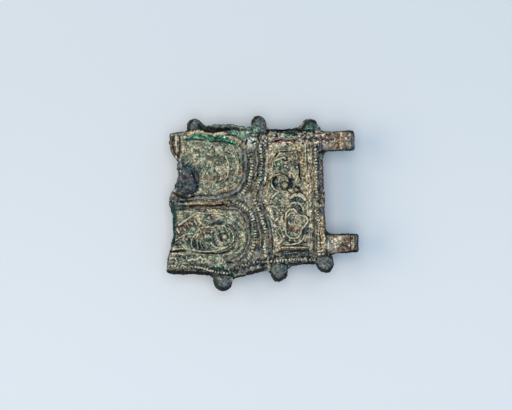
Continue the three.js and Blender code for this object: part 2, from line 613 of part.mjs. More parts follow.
const upperOrnament = [
  ...UPPER_LINES_SHARES.map((shares) => line(shares.map(onUpperBezel))),
  ring(onUpperBezel([0.671, 0.427]), SMALL_RING_RADIUS),
  boss(onUpperBezel([0.666, 0.458]), DOT_RADIUS),
  boss(onUpperBezel([0.535, 0.365]), KNOB_RADIUS),
];
addPart('upper_bezel_field', field(upperFieldOutline, upperOrnament, lump), 'field');

// Field of the lower bezel, with an eye, a beak of hatched bars and a ladder
const LOWER_FIELD_END_SHARES = [
  [0.7, 0.868], [0.5, 0.865], [0.36, 0.858], [0.26, 0.84], [0.07, 0.845], [0.085, 0.7], [0.12, 0.56],
  [0.125, 0.4], [0.125, 0.2], [0.11, 0.035], [0.3, 0.035],
];
const FIELD_TOE_SHARE = 0.86;
const lowerFieldOutline = [
  ...besideRoute(lowerRollRoute, -rollClearance).slice(1).filter((point) => (
    point.y > lowerLegY + FIELD_TOE_SHARE * (lowerToeY - lowerLegY))),
  ...LOWER_FIELD_END_SHARES.map(onLowerBezel),
];
const LOWER_LINES_SHARES = [
  [[0.163, 0.291], [0.25, 0.212], [0.344, 0.134]],
  [[0.365, 0.119], [0.56, 0.104], [0.661, 0.119], [0.736, 0.172], [0.802, 0.246], [0.852, 0.336],
    [0.882, 0.485], [0.872, 0.634], [0.832, 0.768], [0.781, 0.825]],
  [[0.1, 0.724], [0.259, 0.724], [0.309, 0.761], [0.535, 0.78], [0.636, 0.776], [0.711, 0.739],
    [0.761, 0.694], [0.812, 0.634], [0.827, 0.56]],
  [[0.1, 0.805], [0.259, 0.798], [0.359, 0.83], [0.51, 0.838], [0.66, 0.84]],
  [[0.54, 0.649], [0.57, 0.687], [0.621, 0.716], [0.711, 0.701], [0.761, 0.66], [0.796, 0.597],
    [0.801, 0.522], [0.788, 0.448], [0.761, 0.395], [0.721, 0.358], [0.661, 0.343], [0.56, 0.358],
    [0.485, 0.343], [0.41, 0.381]],
  [[0.364, 0.5], [0.314, 0.582], [0.309, 0.672], [0.349, 0.745]],
  [[0.148, 0.567], [0.234, 0.492], [0.309, 0.47], [0.384, 0.425]],
  [[0.115, 0.69], [0.199, 0.619], [0.259, 0.695]],
];
const HATCH_COUNT = 4;
const HATCH_START_SHARES = [0.389, 0.665];
const HATCH_END_SHARES = [0.394, 0.74];
const HATCH_STEP_SHARE = 0.043;
const LADDER_COUNT = 5;
const LADDER_START_SHARES = [0.205, 0.3];
const LADDER_END_SHARES = [0.235, 0.4];
const LADDER_STEP_SHARES = [0.032, -0.028];
const EYE_RADIUS = 1.7;
const NOSTRIL_RADIUS = 0.95;
const bars = (count, from, to, stepX, stepY) => Array.from({ length: count }, (_, step) => (
  line([from, to].map(([x, y]) => onLowerBezel([x + step * stepX, y + step * stepY])))));
const lowerOrnament = [
  ...LOWER_LINES_SHARES.map((shares) => line(shares.map(onLowerBezel))),
  ...bars(HATCH_COUNT, HATCH_START_SHARES, HATCH_END_SHARES, HATCH_STEP_SHARE, 0),
  ...bars(LADDER_COUNT, LADDER_START_SHARES, LADDER_END_SHARES, LADDER_STEP_SHARES[0], LADDER_STEP_SHARES[1]),
  ring(onLowerBezel([0.696, 0.537]), EYE_RADIUS),
  boss(onLowerBezel([0.711, 0.53]), DOT_RADIUS),
  boss(onLowerBezel([0.46, 0.522]), NOSTRIL_RADIUS),
];
addPart('lower_bezel_field', field(lowerFieldOutline, lowerOrnament), 'field');

// Band of running scrolls between the lower bezel and the foot beads
const FOOT_BAND_SHARES = [
  [0.042, -0.585], [0.309, -0.585], [0.58, -0.588], [0.67, -0.6], [0.71, -0.66], [0.72, -0.715],
  [0.686, -0.748], [0.56, -0.722], [0.41, -0.682], [0.309, -0.668], [0.184, -0.66], [0.035, -0.655],
];
const FOOT_SCROLL_COUNT = 6;
const FOOT_SCROLL_RADIUS = 0.6;
const FOOT_SCROLL_START_SHARES = [0.095, -0.622];
const FOOT_SCROLL_STEP_SHARES = [0.112, -0.007];
const footScrolls = Array.from({ length: FOOT_SCROLL_COUNT }, (_, step) => (
  ring(onFoot([
    FOOT_SCROLL_START_SHARES[0] + step * FOOT_SCROLL_STEP_SHARES[0],
    FOOT_SCROLL_START_SHARES[1] + step * FOOT_SCROLL_STEP_SHARES[1],
  ]), FOOT_SCROLL_RADIUS)));
addPart('foot_scroll_band', field(FOOT_BAND_SHARES.map(onFoot), footScrolls), 'field');

// Field of the strip, with a border band and a vine of scrolls
const stripSide = waistLine(stripLeft, 0.665, -0.565);
const stripOutline = [
  ...stripSide,
  new THREE.Vector2(stripRight, stripSide[stripSide.length - 1].y),
  new THREE.Vector2(stripRight, stripSide[0].y),
];
const BAND_WIDTH = 0.8;
const stripBand = smoothRoute(waistLine(stripLeft + BAND_WIDTH, 0.6, -0.5));
const STRIP_LINES_SHARES = [
  [[0.93, 0.65], [0.92, 0.1], [0.93, -0.55]],
  [[0.17, 0.583], [0.45, 0.59], [0.8, 0.583]],
  [[0.528, 0.125], [0.634, 0.193], [0.676, 0.289], [0.676, 0.386]],
  [[0.168, 0.53], [0.28, 0.515], [0.38, 0.496]],
  [[0.06, 0.07], [0.13, 0.1], [0.2, 0.116]],
  [[0.549, 0.043], [0.655, 0.072], [0.761, 0.058], [0.846, 0.019]],
  [[0.464, -0.029], [0.591, -0.01], [0.697, -0.019], [0.761, -0.058], [0.782, -0.111]],
  [[0.369, -0.125], [0.443, -0.092], [0.549, -0.092], [0.623, -0.13]],
  [[0.401, -0.174], [0.464, -0.135], [0.57, -0.138]],
  [[0.337, -0.193], [0.306, -0.265], [0.316, -0.347], [0.39, -0.405], [0.517, -0.429], [0.644, -0.41],
    [0.697, -0.362], [0.697, -0.328], [0.76, -0.299]],
  [[0.644, -0.174], [0.75, -0.169], [0.82, -0.193], [0.85, -0.241], [0.82, -0.284], [0.76, -0.3]],
  [[0.761, -0.41], [0.74, -0.455], [0.634, -0.487], [0.464, -0.49], [0.295, -0.475], [0.242, -0.434]],
  [[0.3, -0.535], [0.58, -0.532], [0.86, -0.535]],
];
const SCROLL_RADIUS = 2.2;
const BERRY_RADIUS = 1;
const TENDRIL_RADIUS = 0.8;
const BUD_RADIUS = 0.4;
const BUD_SHARES = [[0.517, 0.125], [0.655, 0.125], [0.464, 0.058], [0.44, -0.06]];
const stripOrnament = [
  raisedLine(stripBand, BAND_WIDTH),
  ...STRIP_LINES_SHARES.map((shares) => line(shares.map(onStrip))),
  ring(onStrip([0.33, 0.217]), SCROLL_RADIUS),
  boss(onStrip([0.4, 0.202]), BERRY_RADIUS),
  ring(onStrip([0.644, 0.53]), TENDRIL_RADIUS),
  ring(onStrip([0.24, -0.3]), DOT_RADIUS),
  ...BUD_SHARES.map((shares) => boss(onStrip(shares), BUD_RADIUS)),
];
addPart('strip_field', field(stripOutline, stripOrnament), 'field');

// Hinge lugs: a tab that butts on the hinge edge and ends in a bored barrel
const LUGS = [
  ['hinge_lug_upper', 0.674, UPPER_LUG_WIDTH, LUG_INNER_FILLET, LUG_OUTER_FILLET],
  ['hinge_lug_lower', -0.513, LOWER_LUG_WIDTH, LUG_OUTER_FILLET, LUG_INNER_FILLET],
].map(([name, yShare, width, below, above]) => ({ name, yShare, width, below, above }));
const BARREL_SIDES = 32;
const BORE_SIDES = 16;
const FILLET_STEPS = 5;
function hingeLug({ yShare, width, below, above }) {
  const y = yShare * HALF_WIDTH;
  const end = RIGHT + LUG_REACH;
  const barrelX = end - BARREL_RADIUS;
  const tab = new THREE.Shape();
  tab.moveTo(RIGHT, y - width / 2 - below);
  tab.absarc(RIGHT + below, y - width / 2 - below, below, Math.PI, Math.PI / 2, true);
  tab.lineTo(barrelX, y - width / 2);
  tab.lineTo(barrelX, y + width / 2);
  tab.lineTo(RIGHT + above, y + width / 2);
  tab.absarc(RIGHT + above, y + width / 2 + above, above, -Math.PI / 2, -Math.PI, true);
  const arm = new THREE.ExtrudeGeometry(tab, {
    depth: PLATE_THICKNESS, bevelEnabled: false, curveSegments: FILLET_STEPS,
  });
  arm.translate(0, 0, LOOP_HEIGHT);
  const barrel = new THREE.CylinderGeometry(BARREL_RADIUS, BARREL_RADIUS, width, BARREL_SIDES);
  barrel.translate(barrelX, y, AXLE_Z);
  const bore = new THREE.CylinderGeometry(
    AXLE_BORE_RADIUS, AXLE_BORE_RADIUS, width + OVERRUN, BORE_SIDES);
  bore.translate(barrelX, y, AXLE_Z);
  return toGeometry(toSolid(arm).subtract(toSolid(plate)).add(toSolid(barrel)).subtract(toSolid(bore)));
}
LUGS.forEach((lug) => addPart(lug.name, hingeLug(lug), 'lug'));

// Strap loops: pierced tabs under the plate, with flat feet
const STRAP_LOOPS = [
  { name: 'strap_loop_end', placeShares: [0.264, 0] },
  { name: 'strap_loop_upper', placeShares: [0.875, 0.458] },
  { name: 'strap_loop_lower', placeShares: [0.875, -0.458] },
];
const LOOP_SHOULDER_SHARE = 0.45;
const LOOP_STEPS = 10;
function strapLoop(placeShares) {
  const tab = new THREE.Shape();
  const shoulder = LOOP_HEIGHT * LOOP_SHOULDER_SHARE;
  tab.moveTo(-LOOP_LENGTH / 2, LOOP_HEIGHT);
  tab.lineTo(-LOOP_LENGTH / 2, shoulder);
  tab.quadraticCurveTo(-LOOP_LENGTH / 2, 0, -LOOP_FOOT / 2, 0);
  tab.lineTo(LOOP_FOOT / 2, 0);
  tab.quadraticCurveTo(LOOP_LENGTH / 2, 0, LOOP_LENGTH / 2, shoulder);
  tab.lineTo(LOOP_LENGTH / 2, LOOP_HEIGHT);
  const hole = new THREE.Path();
  hole.absarc(0, LOOP_HEIGHT / 2, LOOP_HOLE_RADIUS, 0, Math.PI * 2, true);
  tab.holes.push(hole);
  const loop = new THREE.ExtrudeGeometry(tab, {
    depth: LOOP_THICKNESS, bevelEnabled: false, curveSegments: LOOP_STEPS,
  });
  loop.rotateX(Math.PI / 2);
  const place = onPlate(placeShares);
  loop.translate(place.x, place.y + LOOP_THICKNESS / 2, 0);
  return loop;
}
STRAP_LOOPS.forEach(({ name, placeShares }) => addPart(name, strapLoop(placeShares), 'dark'));

export default shank;
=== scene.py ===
"""Dressed model of a buckle shank: the strap plate of an ancient belt buckle.

Each solid of the casting gets a worked skin of its own: its edges are softened as a
cast edge wears, corrosion pits and swells it, and lines that the graver left are cut
or raised. The patina is painted on that skin from the relief of the whole face and
from the places where each deposit grew, and painted shade and highlights are laid
with it: shade in the low places, on steep flanks and along some edges, and highlights
on the lobes, the lugs and an upper edge. Sizes are in millimetres while a piece is
worked, and in metres when it is finished.
"""

import json
import logging
import math
from collections.abc import Callable
from dataclasses import dataclass, field
from enum import Enum

import bpy
import numpy as np
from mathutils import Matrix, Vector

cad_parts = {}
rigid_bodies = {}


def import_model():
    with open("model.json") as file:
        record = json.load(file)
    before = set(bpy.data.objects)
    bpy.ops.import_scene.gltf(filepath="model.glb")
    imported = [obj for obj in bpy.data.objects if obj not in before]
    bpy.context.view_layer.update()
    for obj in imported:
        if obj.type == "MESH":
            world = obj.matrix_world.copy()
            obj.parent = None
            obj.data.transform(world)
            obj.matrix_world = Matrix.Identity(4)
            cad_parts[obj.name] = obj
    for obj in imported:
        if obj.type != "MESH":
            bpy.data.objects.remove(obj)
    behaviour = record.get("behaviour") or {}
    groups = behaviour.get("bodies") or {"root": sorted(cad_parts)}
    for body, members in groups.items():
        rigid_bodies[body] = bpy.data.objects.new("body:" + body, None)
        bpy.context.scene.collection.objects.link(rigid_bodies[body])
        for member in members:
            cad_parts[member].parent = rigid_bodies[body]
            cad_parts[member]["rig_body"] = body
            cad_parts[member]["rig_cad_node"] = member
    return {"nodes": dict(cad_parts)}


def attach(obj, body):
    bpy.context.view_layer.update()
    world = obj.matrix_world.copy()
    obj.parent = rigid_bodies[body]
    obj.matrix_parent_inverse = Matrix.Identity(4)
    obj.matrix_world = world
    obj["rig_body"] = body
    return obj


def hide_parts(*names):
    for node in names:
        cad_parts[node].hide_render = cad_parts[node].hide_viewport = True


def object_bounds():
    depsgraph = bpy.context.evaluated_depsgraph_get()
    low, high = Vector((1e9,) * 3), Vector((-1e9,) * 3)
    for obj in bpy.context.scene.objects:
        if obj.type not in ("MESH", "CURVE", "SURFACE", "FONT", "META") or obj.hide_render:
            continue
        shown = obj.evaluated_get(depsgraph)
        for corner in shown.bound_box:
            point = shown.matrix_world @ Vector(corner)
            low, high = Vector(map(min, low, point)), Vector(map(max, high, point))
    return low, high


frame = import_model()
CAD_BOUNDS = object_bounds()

log = logging.getLogger("buckle_shank")

MM_PER_METRE = 1000.0
BODY = "root"

# The plan of the plate: its own length, without the lugs, and where the solids end
PLATE_LENGTH = 38.45
PLATE_LEFT = round(CAD_BOUNDS[0][0] * MM_PER_METRE, 2)
PLATE_RIGHT = PLATE_LEFT + PLATE_LENGTH
HALF_WIDTH = round(CAD_BOUNDS[1][1] * MM_PER_METRE, 2)

# Heights: the plate's upper face, the level where raised lines stop, and the highest crest
PLATE_TOP = 7.1
FACE_TOP = 8.35
HIGHEST_TOP = 9.05

Colour = tuple[float, float, float]
Place = tuple[float, float]
Span = tuple[float, float]


def tint(red: int, green: int, blue: int) -> Colour:
    """Turn a screen colour into the linear colour that a shader takes.

    Args:
        red: Red, from 0 to 255.
        green: Green, from 0 to 255.
        blue: Blue, from 0 to 255.

    Returns:
        The same colour in linear light.
    """
    def linear(value: int) -> float:
        """Undo the screen's curve for one channel."""
        share = value / 255
        return share / 12.92 if share <= 0.04045 else ((share + 0.055) / 1.055) ** 2.4

    return linear(red), linear(green), linear(blue)


# Working with Blender's operators

# How near two points of a solid lie that are one, in metres
MERGE_REACH = 1e-7


def deselect_all() -> None:
    """Leave nothing selected, as an operator acts on all that is."""
    bpy.ops.object.select_all(action="DESELECT")


def select_only(piece: bpy.types.Object) -> None:
    """Select one piece and make it the active one.

    Args:
        piece: The piece.
    """
    deselect_all()
    piece.select_set(True)
    bpy.context.view_layer.objects.active = piece


def apply_modifier(piece: bpy.types.Object, kind: str, **settings: object) -> None:
    """Add a modifier to a piece and apply it.

    Args:
        piece: The piece to change.
        kind: The modifier's type.
        settings: The modifier's own settings.
    """
    select_only(piece)
    bpy.ops.object.modifier_add(type=kind)
    modifier = piece.modifiers[-1]
    for name, value in settings.items():
        setattr(modifier, name, value)
    bpy.ops.object.modifier_apply(modifier=modifier.name)


def scale_mesh(piece: bpy.types.Object, factor: float) -> None:
    """Scale a piece about the origin and put the scale into its mesh.

    Args:
        piece: The piece.
        factor: How many times larger it gets.
    """
    select_only(piece)
    piece.scale = (factor, factor, factor)
    bpy.ops.object.transform_apply(location=False, rotation=False, scale=True)


def start_from_solid(node: str, title: str) -> bpy.types.Object:
    """Copy a solid as the blank that a piece is worked from.

    Args:
        node: The name of the solid.
        title: The name of the new piece.

    Returns:
        The copy, with its doubles merged, in millimetres.
    """
    select_only(frame["nodes"][node])
    bpy.ops.object.duplicate()
    piece = bpy.context.active_object
    bpy.ops.object.parent_clear(type="CLEAR_KEEP_TRANSFORM")
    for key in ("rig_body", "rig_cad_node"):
        if key in piece:
            del piece[key]
    piece.name = title
    piece.data.name = title
    piece.data.materials.clear()
    bpy.ops.object.mode_set(mode="EDIT")
    bpy.ops.mesh.select_all(action="SELECT")
    bpy.ops.mesh.remove_doubles(threshold=MERGE_REACH)
    bpy.ops.object.mode_set(mode="OBJECT")
    scale_mesh(piece, MM_PER_METRE)
    return piece


def read_rows(items: bpy.types.bpy_prop_collection, name: str) -> np.ndarray:
    """Read a vector that each item of a mesh has.

    Args:
        items: The items, such as the mesh's points.
        name: The name of the vector.

    Returns:
        One row of three numbers for each item.
    """
    flat = np.empty(len(items) * 3, np.float32)
    items.foreach_get(name, flat)
    return flat.reshape(-1, 3).astype(float)


def points_of(piece: bpy.types.Object) -> np.ndarray:
    """Return the points of a piece, one row each."""
    return read_rows(piece.data.vertices, "co")


def facing_of(piece: bpy.types.Object) -> np.ndarray:
    """Return how far the skin faces up at each point: 1 is level and 0 is upright."""
    return read_rows(piece.data.vertex_normals, "vector")[:, 2]


# Strokes: what is drawn on the face, in relief or in the patina

# Each scatter of specks draws its chances from its own number
SEED_STEP = 1000
SPECK_SIZES: Span = (0.6, 1.4)
THOUSANDTHS = 1000


@dataclass(frozen=True)
class Stroke:
    """A line or dot on the face.

    Attributes:
        force: How high it stands in millimetres, below zero for a cut, or how fully a
            deposit covers it, from 0 to 1.
        width: Its width in millimetres.
        places: Its corners in shares of the plate; one place is a dot.
    """

    force: float
    width: float
    places: tuple[Place, ...]


def strokes_of(*rows: tuple[float, ...]) -> tuple[Stroke, ...]:
    """Make strokes of what was read on the photographed face.

    Args:
        rows: The force and the width of each stroke, and then its corners: how far each
            lies from the broken end, in thousandths of the plate's length, and from the
            middle, in thousandths of its half width.

    Returns:
        The strokes.
    """
    return tuple(
        Stroke(force, width, tuple((along / THOUSANDTHS, across / THOUSANDTHS)
                                   for along, across in zip(corners[::2], corners[1::2])))
        for force, width, *corners in rows)


@dataclass(frozen=True)
class Specks:
    """Short strokes that lie scattered over one part of the face.

    Attributes:
        force: How high each stands in millimetres, or how fully a deposit covers it.
        width: Their usual width in millimetres.
        count: How many there are.
        middle: The middle of the part, in shares of the plate.
        reach: Half the part's length and width, in shares of the plate.
        seed: What their places are drawn from.
    """

    force: float
    width: float
    count: int
    middle: Place = (0.5, 0.0)
    reach: Place = (0.5, 0.96)
    seed: int = 1

    def strokes(self) -> list[Stroke]:
        """Scatter the specks, each time in the same way.

        Returns:
            The strokes.
        """
        chance = np.random.default_rng(self.seed * SEED_STEP + self.count)
        starts = self.middle + np.array(self.reach) * chance.uniform(-1, 1, (self.count, 2))
        runs = self.width * chance.uniform(-1, 1, (self.count, 2)) / (PLATE_LENGTH, HALF_WIDTH)
        sizes = chance.uniform(*SPECK_SIZES, self.count)
        return [
            Stroke(self.force, self.width * size, (tuple(start), tuple(start + run)))
            for start, run, size in zip(starts, runs, sizes)]


# The chart of the face: an even grid, on which strokes are drawn once for every piece
CHART_STEP = 0.06
CHART_CORNER = np.array((-25.0, -23.0))
CHART_SHAPE = (770, 830)

# How a stroke looks across, by the distance from its middle; lengths are in its widths
DRAWN_REACH = 2
RIDGE_EDGE = 0.62
FADING_BREADTH = 0.55
FLANK_MIDDLE = 1.0
FLANK_BREADTH = 0.4

# Keeps the length of a dot from being zero
DOT_RUN = 1e-12


def ridge(away: np.ndarray) -> np.ndarray:
    """Give a stroke the section of a rounded ridge."""
    return np.sin(np.clip(1 - away / RIDGE_EDGE, 0, 1) * math.pi / 2)


def fading(away: np.ndarray) -> np.ndarray:
    """Give a stroke a core that fades to its sides."""
    return np.exp(-(away / FADING_BREADTH) ** 2)


def flanks(away: np.ndarray) -> np.ndarray:
    """Give a stroke two dark sides."""
    return np.exp(-((away - FLANK_MIDDLE) / FLANK_BREADTH) ** 2)


def on_plate(place: Place) -> np.ndarray:
    """Turn a place given in shares of the plate into millimetres on the plan."""
    return np.array((PLATE_LEFT + place[0] * PLATE_LENGTH, place[1] * HALF_WIDTH))


def draw_strokes(strokes: list[Stroke], section: Callable[[np.ndarray], np.ndarray]) -> np.ndarray:
    """Draw strokes on the chart.

    Args:
        strokes: The strokes; only what stands above zero is drawn.
        section: What a stroke looks like across, by the distance from it in widths.

    Returns:
        The chart, with the highest of all strokes in each cell.
    """
    chart = np.zeros(CHART_SHAPE, np.float32)
    for stroke in strokes:
        corners = [on_plate(place) for place in stroke.places]
        margin = stroke.width * DRAWN_REACH
        for start, end in zip(corners, corners[1:] or corners):
            low = np.floor((np.minimum(start, end) - margin - CHART_CORNER) / CHART_STEP).astype(int)
            high = np.ceil((np.maximum(start, end) + margin - CHART_CORNER) / CHART_STEP).astype(int)
            low, high = np.clip(low, 0, None), np.clip(high, 0, CHART_SHAPE[::-1])
            across = CHART_CORNER[0] + np.arange(low[0], high[0])[None, :] * CHART_STEP - start[0]
            down = CHART_CORNER[1] + np.arange(low[1], high[1])[:, None] * CHART_STEP - start[1]
            run = end - start
            along = np.clip((across * run[0] + down * run[1]) / max(run @ run, DOT_RUN), 0, 1)
            away = np.hypot(across - along * run[0], down - along * run[1])
            window = chart[low[1]:high[1], low[0]:high[0]]
            np.maximum(window, stroke.force * section(away / stroke.width), out=window)
    return chart


def read_chart(chart: np.ndarray, points: np.ndarray) -> np.ndarray:
    """Read a chart at each point of a piece, smoothly between the cells.

    Args:
        chart: The chart.
        points: The points, in millimetres.

    Returns:
        The chart's value at each point.
    """
    place = (points[:, :2] - CHART_CORNER) / CHART_STEP
    whole = np.clip(place.astype(int), 0, np.array(CHART_SHAPE[::-1]) - 2)
    (column, row), (across, down) = whole.T, np.clip(place - whole, 0, 1).T
    upper = chart[row, column] * (1 - across) + chart[row, column + 1] * across
    lower = chart[row + 1, column] * (1 - across) + chart[row + 1, column + 1] * across
    return upper * (1 - down) + lower * down


# Skins: how the surface of a form is worked

SMOOTHING = 0.5


class Texture(Enum):
    """The procedural textures that move a skin."""

    CLOUDS = "CLOUDS"
    CELLS = "VORONOI"


@dataclass(frozen=True)
class Unevenness:
    """One way in which a skin is uneven.

    Attributes:
        size: The size of its features in millimetres.
        depth: How far it moves the skin in millimetres.
        texture: Soft clouds, or cells for pits.
        level: The brightness that stays in place, from 0 to 1.
        contrast: How sharply it turns from low to high.
        direction: The way that the skin moves, along its normals or an axis.
    """

    size: float
    depth: float
    texture: Texture = Texture.CLOUDS
    level: float = 0.5
    contrast: float = 1.0
    direction: str = "NORMAL"

    def move(self, piece: bpy.types.Object) -> None:
        """Move the skin of a piece.

        Args:
            piece: The piece, in millimetres.
        """
        texture = bpy.data.textures.new(f"{piece.name}_texture", self.texture.value)
        texture.noise_scale = self.size
        texture.contrast = self.contrast
        apply_modifier(
            piece, "DISPLACE", texture=texture, texture_coords="LOCAL", direction=self.direction,
            strength=self.depth, mid_level=self.level)
        bpy.data.textures.remove(texture)


@dataclass(frozen=True)
class Skin:
    """How the surface of a form is worked, in millimetres.

    Attributes:
        grain: The size of the cells that the form is made into.
        softening: How many passes wear its edges.
        swell: How far it grows, so that neighbours run into each other.
        unevenness: What moves the surface afterwards.
    """

    grain: float
    softening: int
    swell: float
    unevenness: tuple[Unevenness, ...]

    def work(self, piece: bpy.types.Object) -> None:
        """Give a piece the worn and corroded surface of a find.

        Args:
            piece: The blank, in millimetres.
        """
        apply_modifier(piece, "REMESH", mode="VOXEL", voxel_size=self.grain, adaptivity=0.0)
        apply_modifier(piece, "SMOOTH", factor=SMOOTHING, iterations=self.softening)
        for waver in WAVERS:
            waver.move(piece)
        if self.swell:
            apply_modifier(piece, "DISPLACE", direction="NORMAL", strength=self.swell, mid_level=0.0)
        for uneven in self.unevenness:
            uneven.move(piece)


# All forms wander on the plan together, as a hand-cut pattern does
WAVERS: tuple[Unevenness, ...] = (
    Unevenness(3.3, 0.6, direction="X"), Unevenness(2.9, 0.6, direction="Y"),
    Unevenness(0.95, 0.34, direction="X"), Unevenness(0.85, 0.34, direction="Y"))

CAST_WAVES = Unevenness(1.6, 0.14)
CORRODED = Unevenness(0.45, 0.3, contrast=1.5)
GRITTY = Unevenness(0.22, 0.16, contrast=1.4)
WORN_GRIT = Unevenness(0.4, 0.14)
PITS = Unevenness(0.5, 0.14, Texture.CELLS, level=0.32, contrast=1.6)

FIELD_SKIN = Skin(0.1, 2, 0.03, (CAST_WAVES, Unevenness(0.45, 0.2), GRITTY))
CRISP_SKIN = Skin(0.1, 1, 0.03, (CAST_WAVES, Unevenness(0.45, 0.13), Unevenness(0.22, 0.08)))
ROLL_SKIN = Skin(0.1, 6, -0.03, (CAST_WAVES, Unevenness(0.7, 0.26), WORN_GRIT))
RIM_SKIN = Skin(0.1, 4, 0.06, (CAST_WAVES, CORRODED, GRITTY))
BEAD_SKIN = Skin(0.1, 2, 0.03, (Unevenness(0.9, 0.24), Unevenness(0.45, 0.16), GRITTY))
PLATE_SKIN = Skin(0.19, 2, 0.04, (CAST_WAVES, CORRODED))
LOBE_SKIN = Skin(0.12, 14, 0.18, (CAST_WAVES, Unevenness(0.7, 0.12), Unevenness(0.4, 0.08)))
LUG_SKIN = Skin(0.13, 8, 0.05, (Unevenness(2.2, 0.14), Unevenness(0.45, 0.12), WORN_GRIT))
LOOP_SKIN = Skin(0.15, 5, -0.06, (WORN_GRIT,))
LUMP_SKIN = Skin(0.13, 10, 0.3, (Unevenness(1.7, 0.8), Unevenness(0.5, 0.32), PITS))

# What the graver and the caster left on the face, read from the photograph
UPPER_BEZEL_LINES = strokes_of(
    (0.2, 0.22, 409, 625, 430, 589, 450, 550, 464, 493, 468, 425, 467, 363, 456, 302, 437, 250),
    (0.28, 0.28, 397, 554, 406, 516, 415, 454, 415, 392, 404, 318, 382, 267),
    (-0.18, 0.35, 386, 301, 365, 270, 331, 257), (0.2, 0.19, 320, 474, 307, 438, 306, 401, 317, 359),
    (0.2, 0.19, 383, 463, 392, 431, 390, 381, 379, 351), (-0.2, 0.35, 326, 455, 322, 418, 334, 373),
    (0.28, 0.33, 339, 435), (0.22, 0.28, 363, 395), (0.24, 0.25, 151, 499, 177, 532, 212, 569),
    (0.2, 0.44, 277, 359, 281, 378), (0.17, 0.17, 219, 321, 238, 288, 271, 264, 298, 259),
    (0.22, 0.25, 191, 131, 215, 154, 255, 149), (0.2, 0.44, 339, 153, 369, 166, 404, 191, 448, 234),
    (0.17, 0.17, 243, 213, 263, 193, 292, 160, 313, 195), (0.17, 0.17, 233, 357, 251, 411, 268, 416),
    (0.17, 0.17, 199, 738, 229, 726, 241, 691), (0.17, 0.19, 136, 625, 118, 571),
    (0.16, 0.17, 254, 647, 273, 626, 269, 590), (0.16, 0.17, 332, 584, 359, 558, 372, 569),
    (0.16, 0.17, 400, 622, 423, 602), (0.16, 0.17, 217, 240, 244, 226), (-0.35, 0.42, 318, 666),
    (-0.35, 0.42, 331, 647), (-0.3, 0.36, 373, 680), (-0.35, 0.42, 391, 654), (-0.3, 0.36, 330, 614),
    (-0.35, 0.42, 349, 566), (-0.25, 0.36, 230, 645), (-0.25, 0.36, 180, 687), (-0.25, 0.36, 181, 628),
    (-0.25, 0.36, 215, 805), (-0.25, 0.36, 265, 832), (0.3, 0.22, 94, 827, 92, 716, 95, 647, 90, 554),
    (-0.22, 0.35, 116, 807, 115, 689, 106, 553), (-0.25, 0.35, 71, 717, 79, 630, 88, 579),
    (-0.3, 0.4, 275, 856, 312, 840, 335, 839, 379, 852, 429, 862), (0.2, 0.19, 260, 920, 413, 897, 547, 877),
    (-0.2, 0.3, 246, 889, 346, 869, 423, 866),
    (0.25, 0.19, 178, 826, 232, 853, 258, 845, 294, 817, 344, 807, 378, 816, 411, 777, 460, 735, 509, 676),
    (0.2, 0.22, 523, 736, 544, 753, 556, 709), (0.3, 0.28, 533, 568, 553, 554),
    (0.3, 0.28, 542, 518, 558, 510), (-0.25, 0.3, 485, 510, 485, 460), (-0.25, 0.3, 473, 579, 479, 548),
    (0.25, 0.5, 146, 25, 170, 26, 202, 27), (0.25, 0.5, 254, 23, 272, 25),
    (0.25, 0.4, 292, 13, 321, 14, 359, 11), (-0.3, 0.35, 159, -5, 222, 0, 292, -13, 362, -9),
    (0.2, 0.35, 288, -45, 312, -31, 337, -29), (0.3, 0.4, 429, 22, 447, 40), (0.3, 0.4, 454, 7, 471, 18),
    (-0.3, 0.4, 565, 773, 589, 764),
)
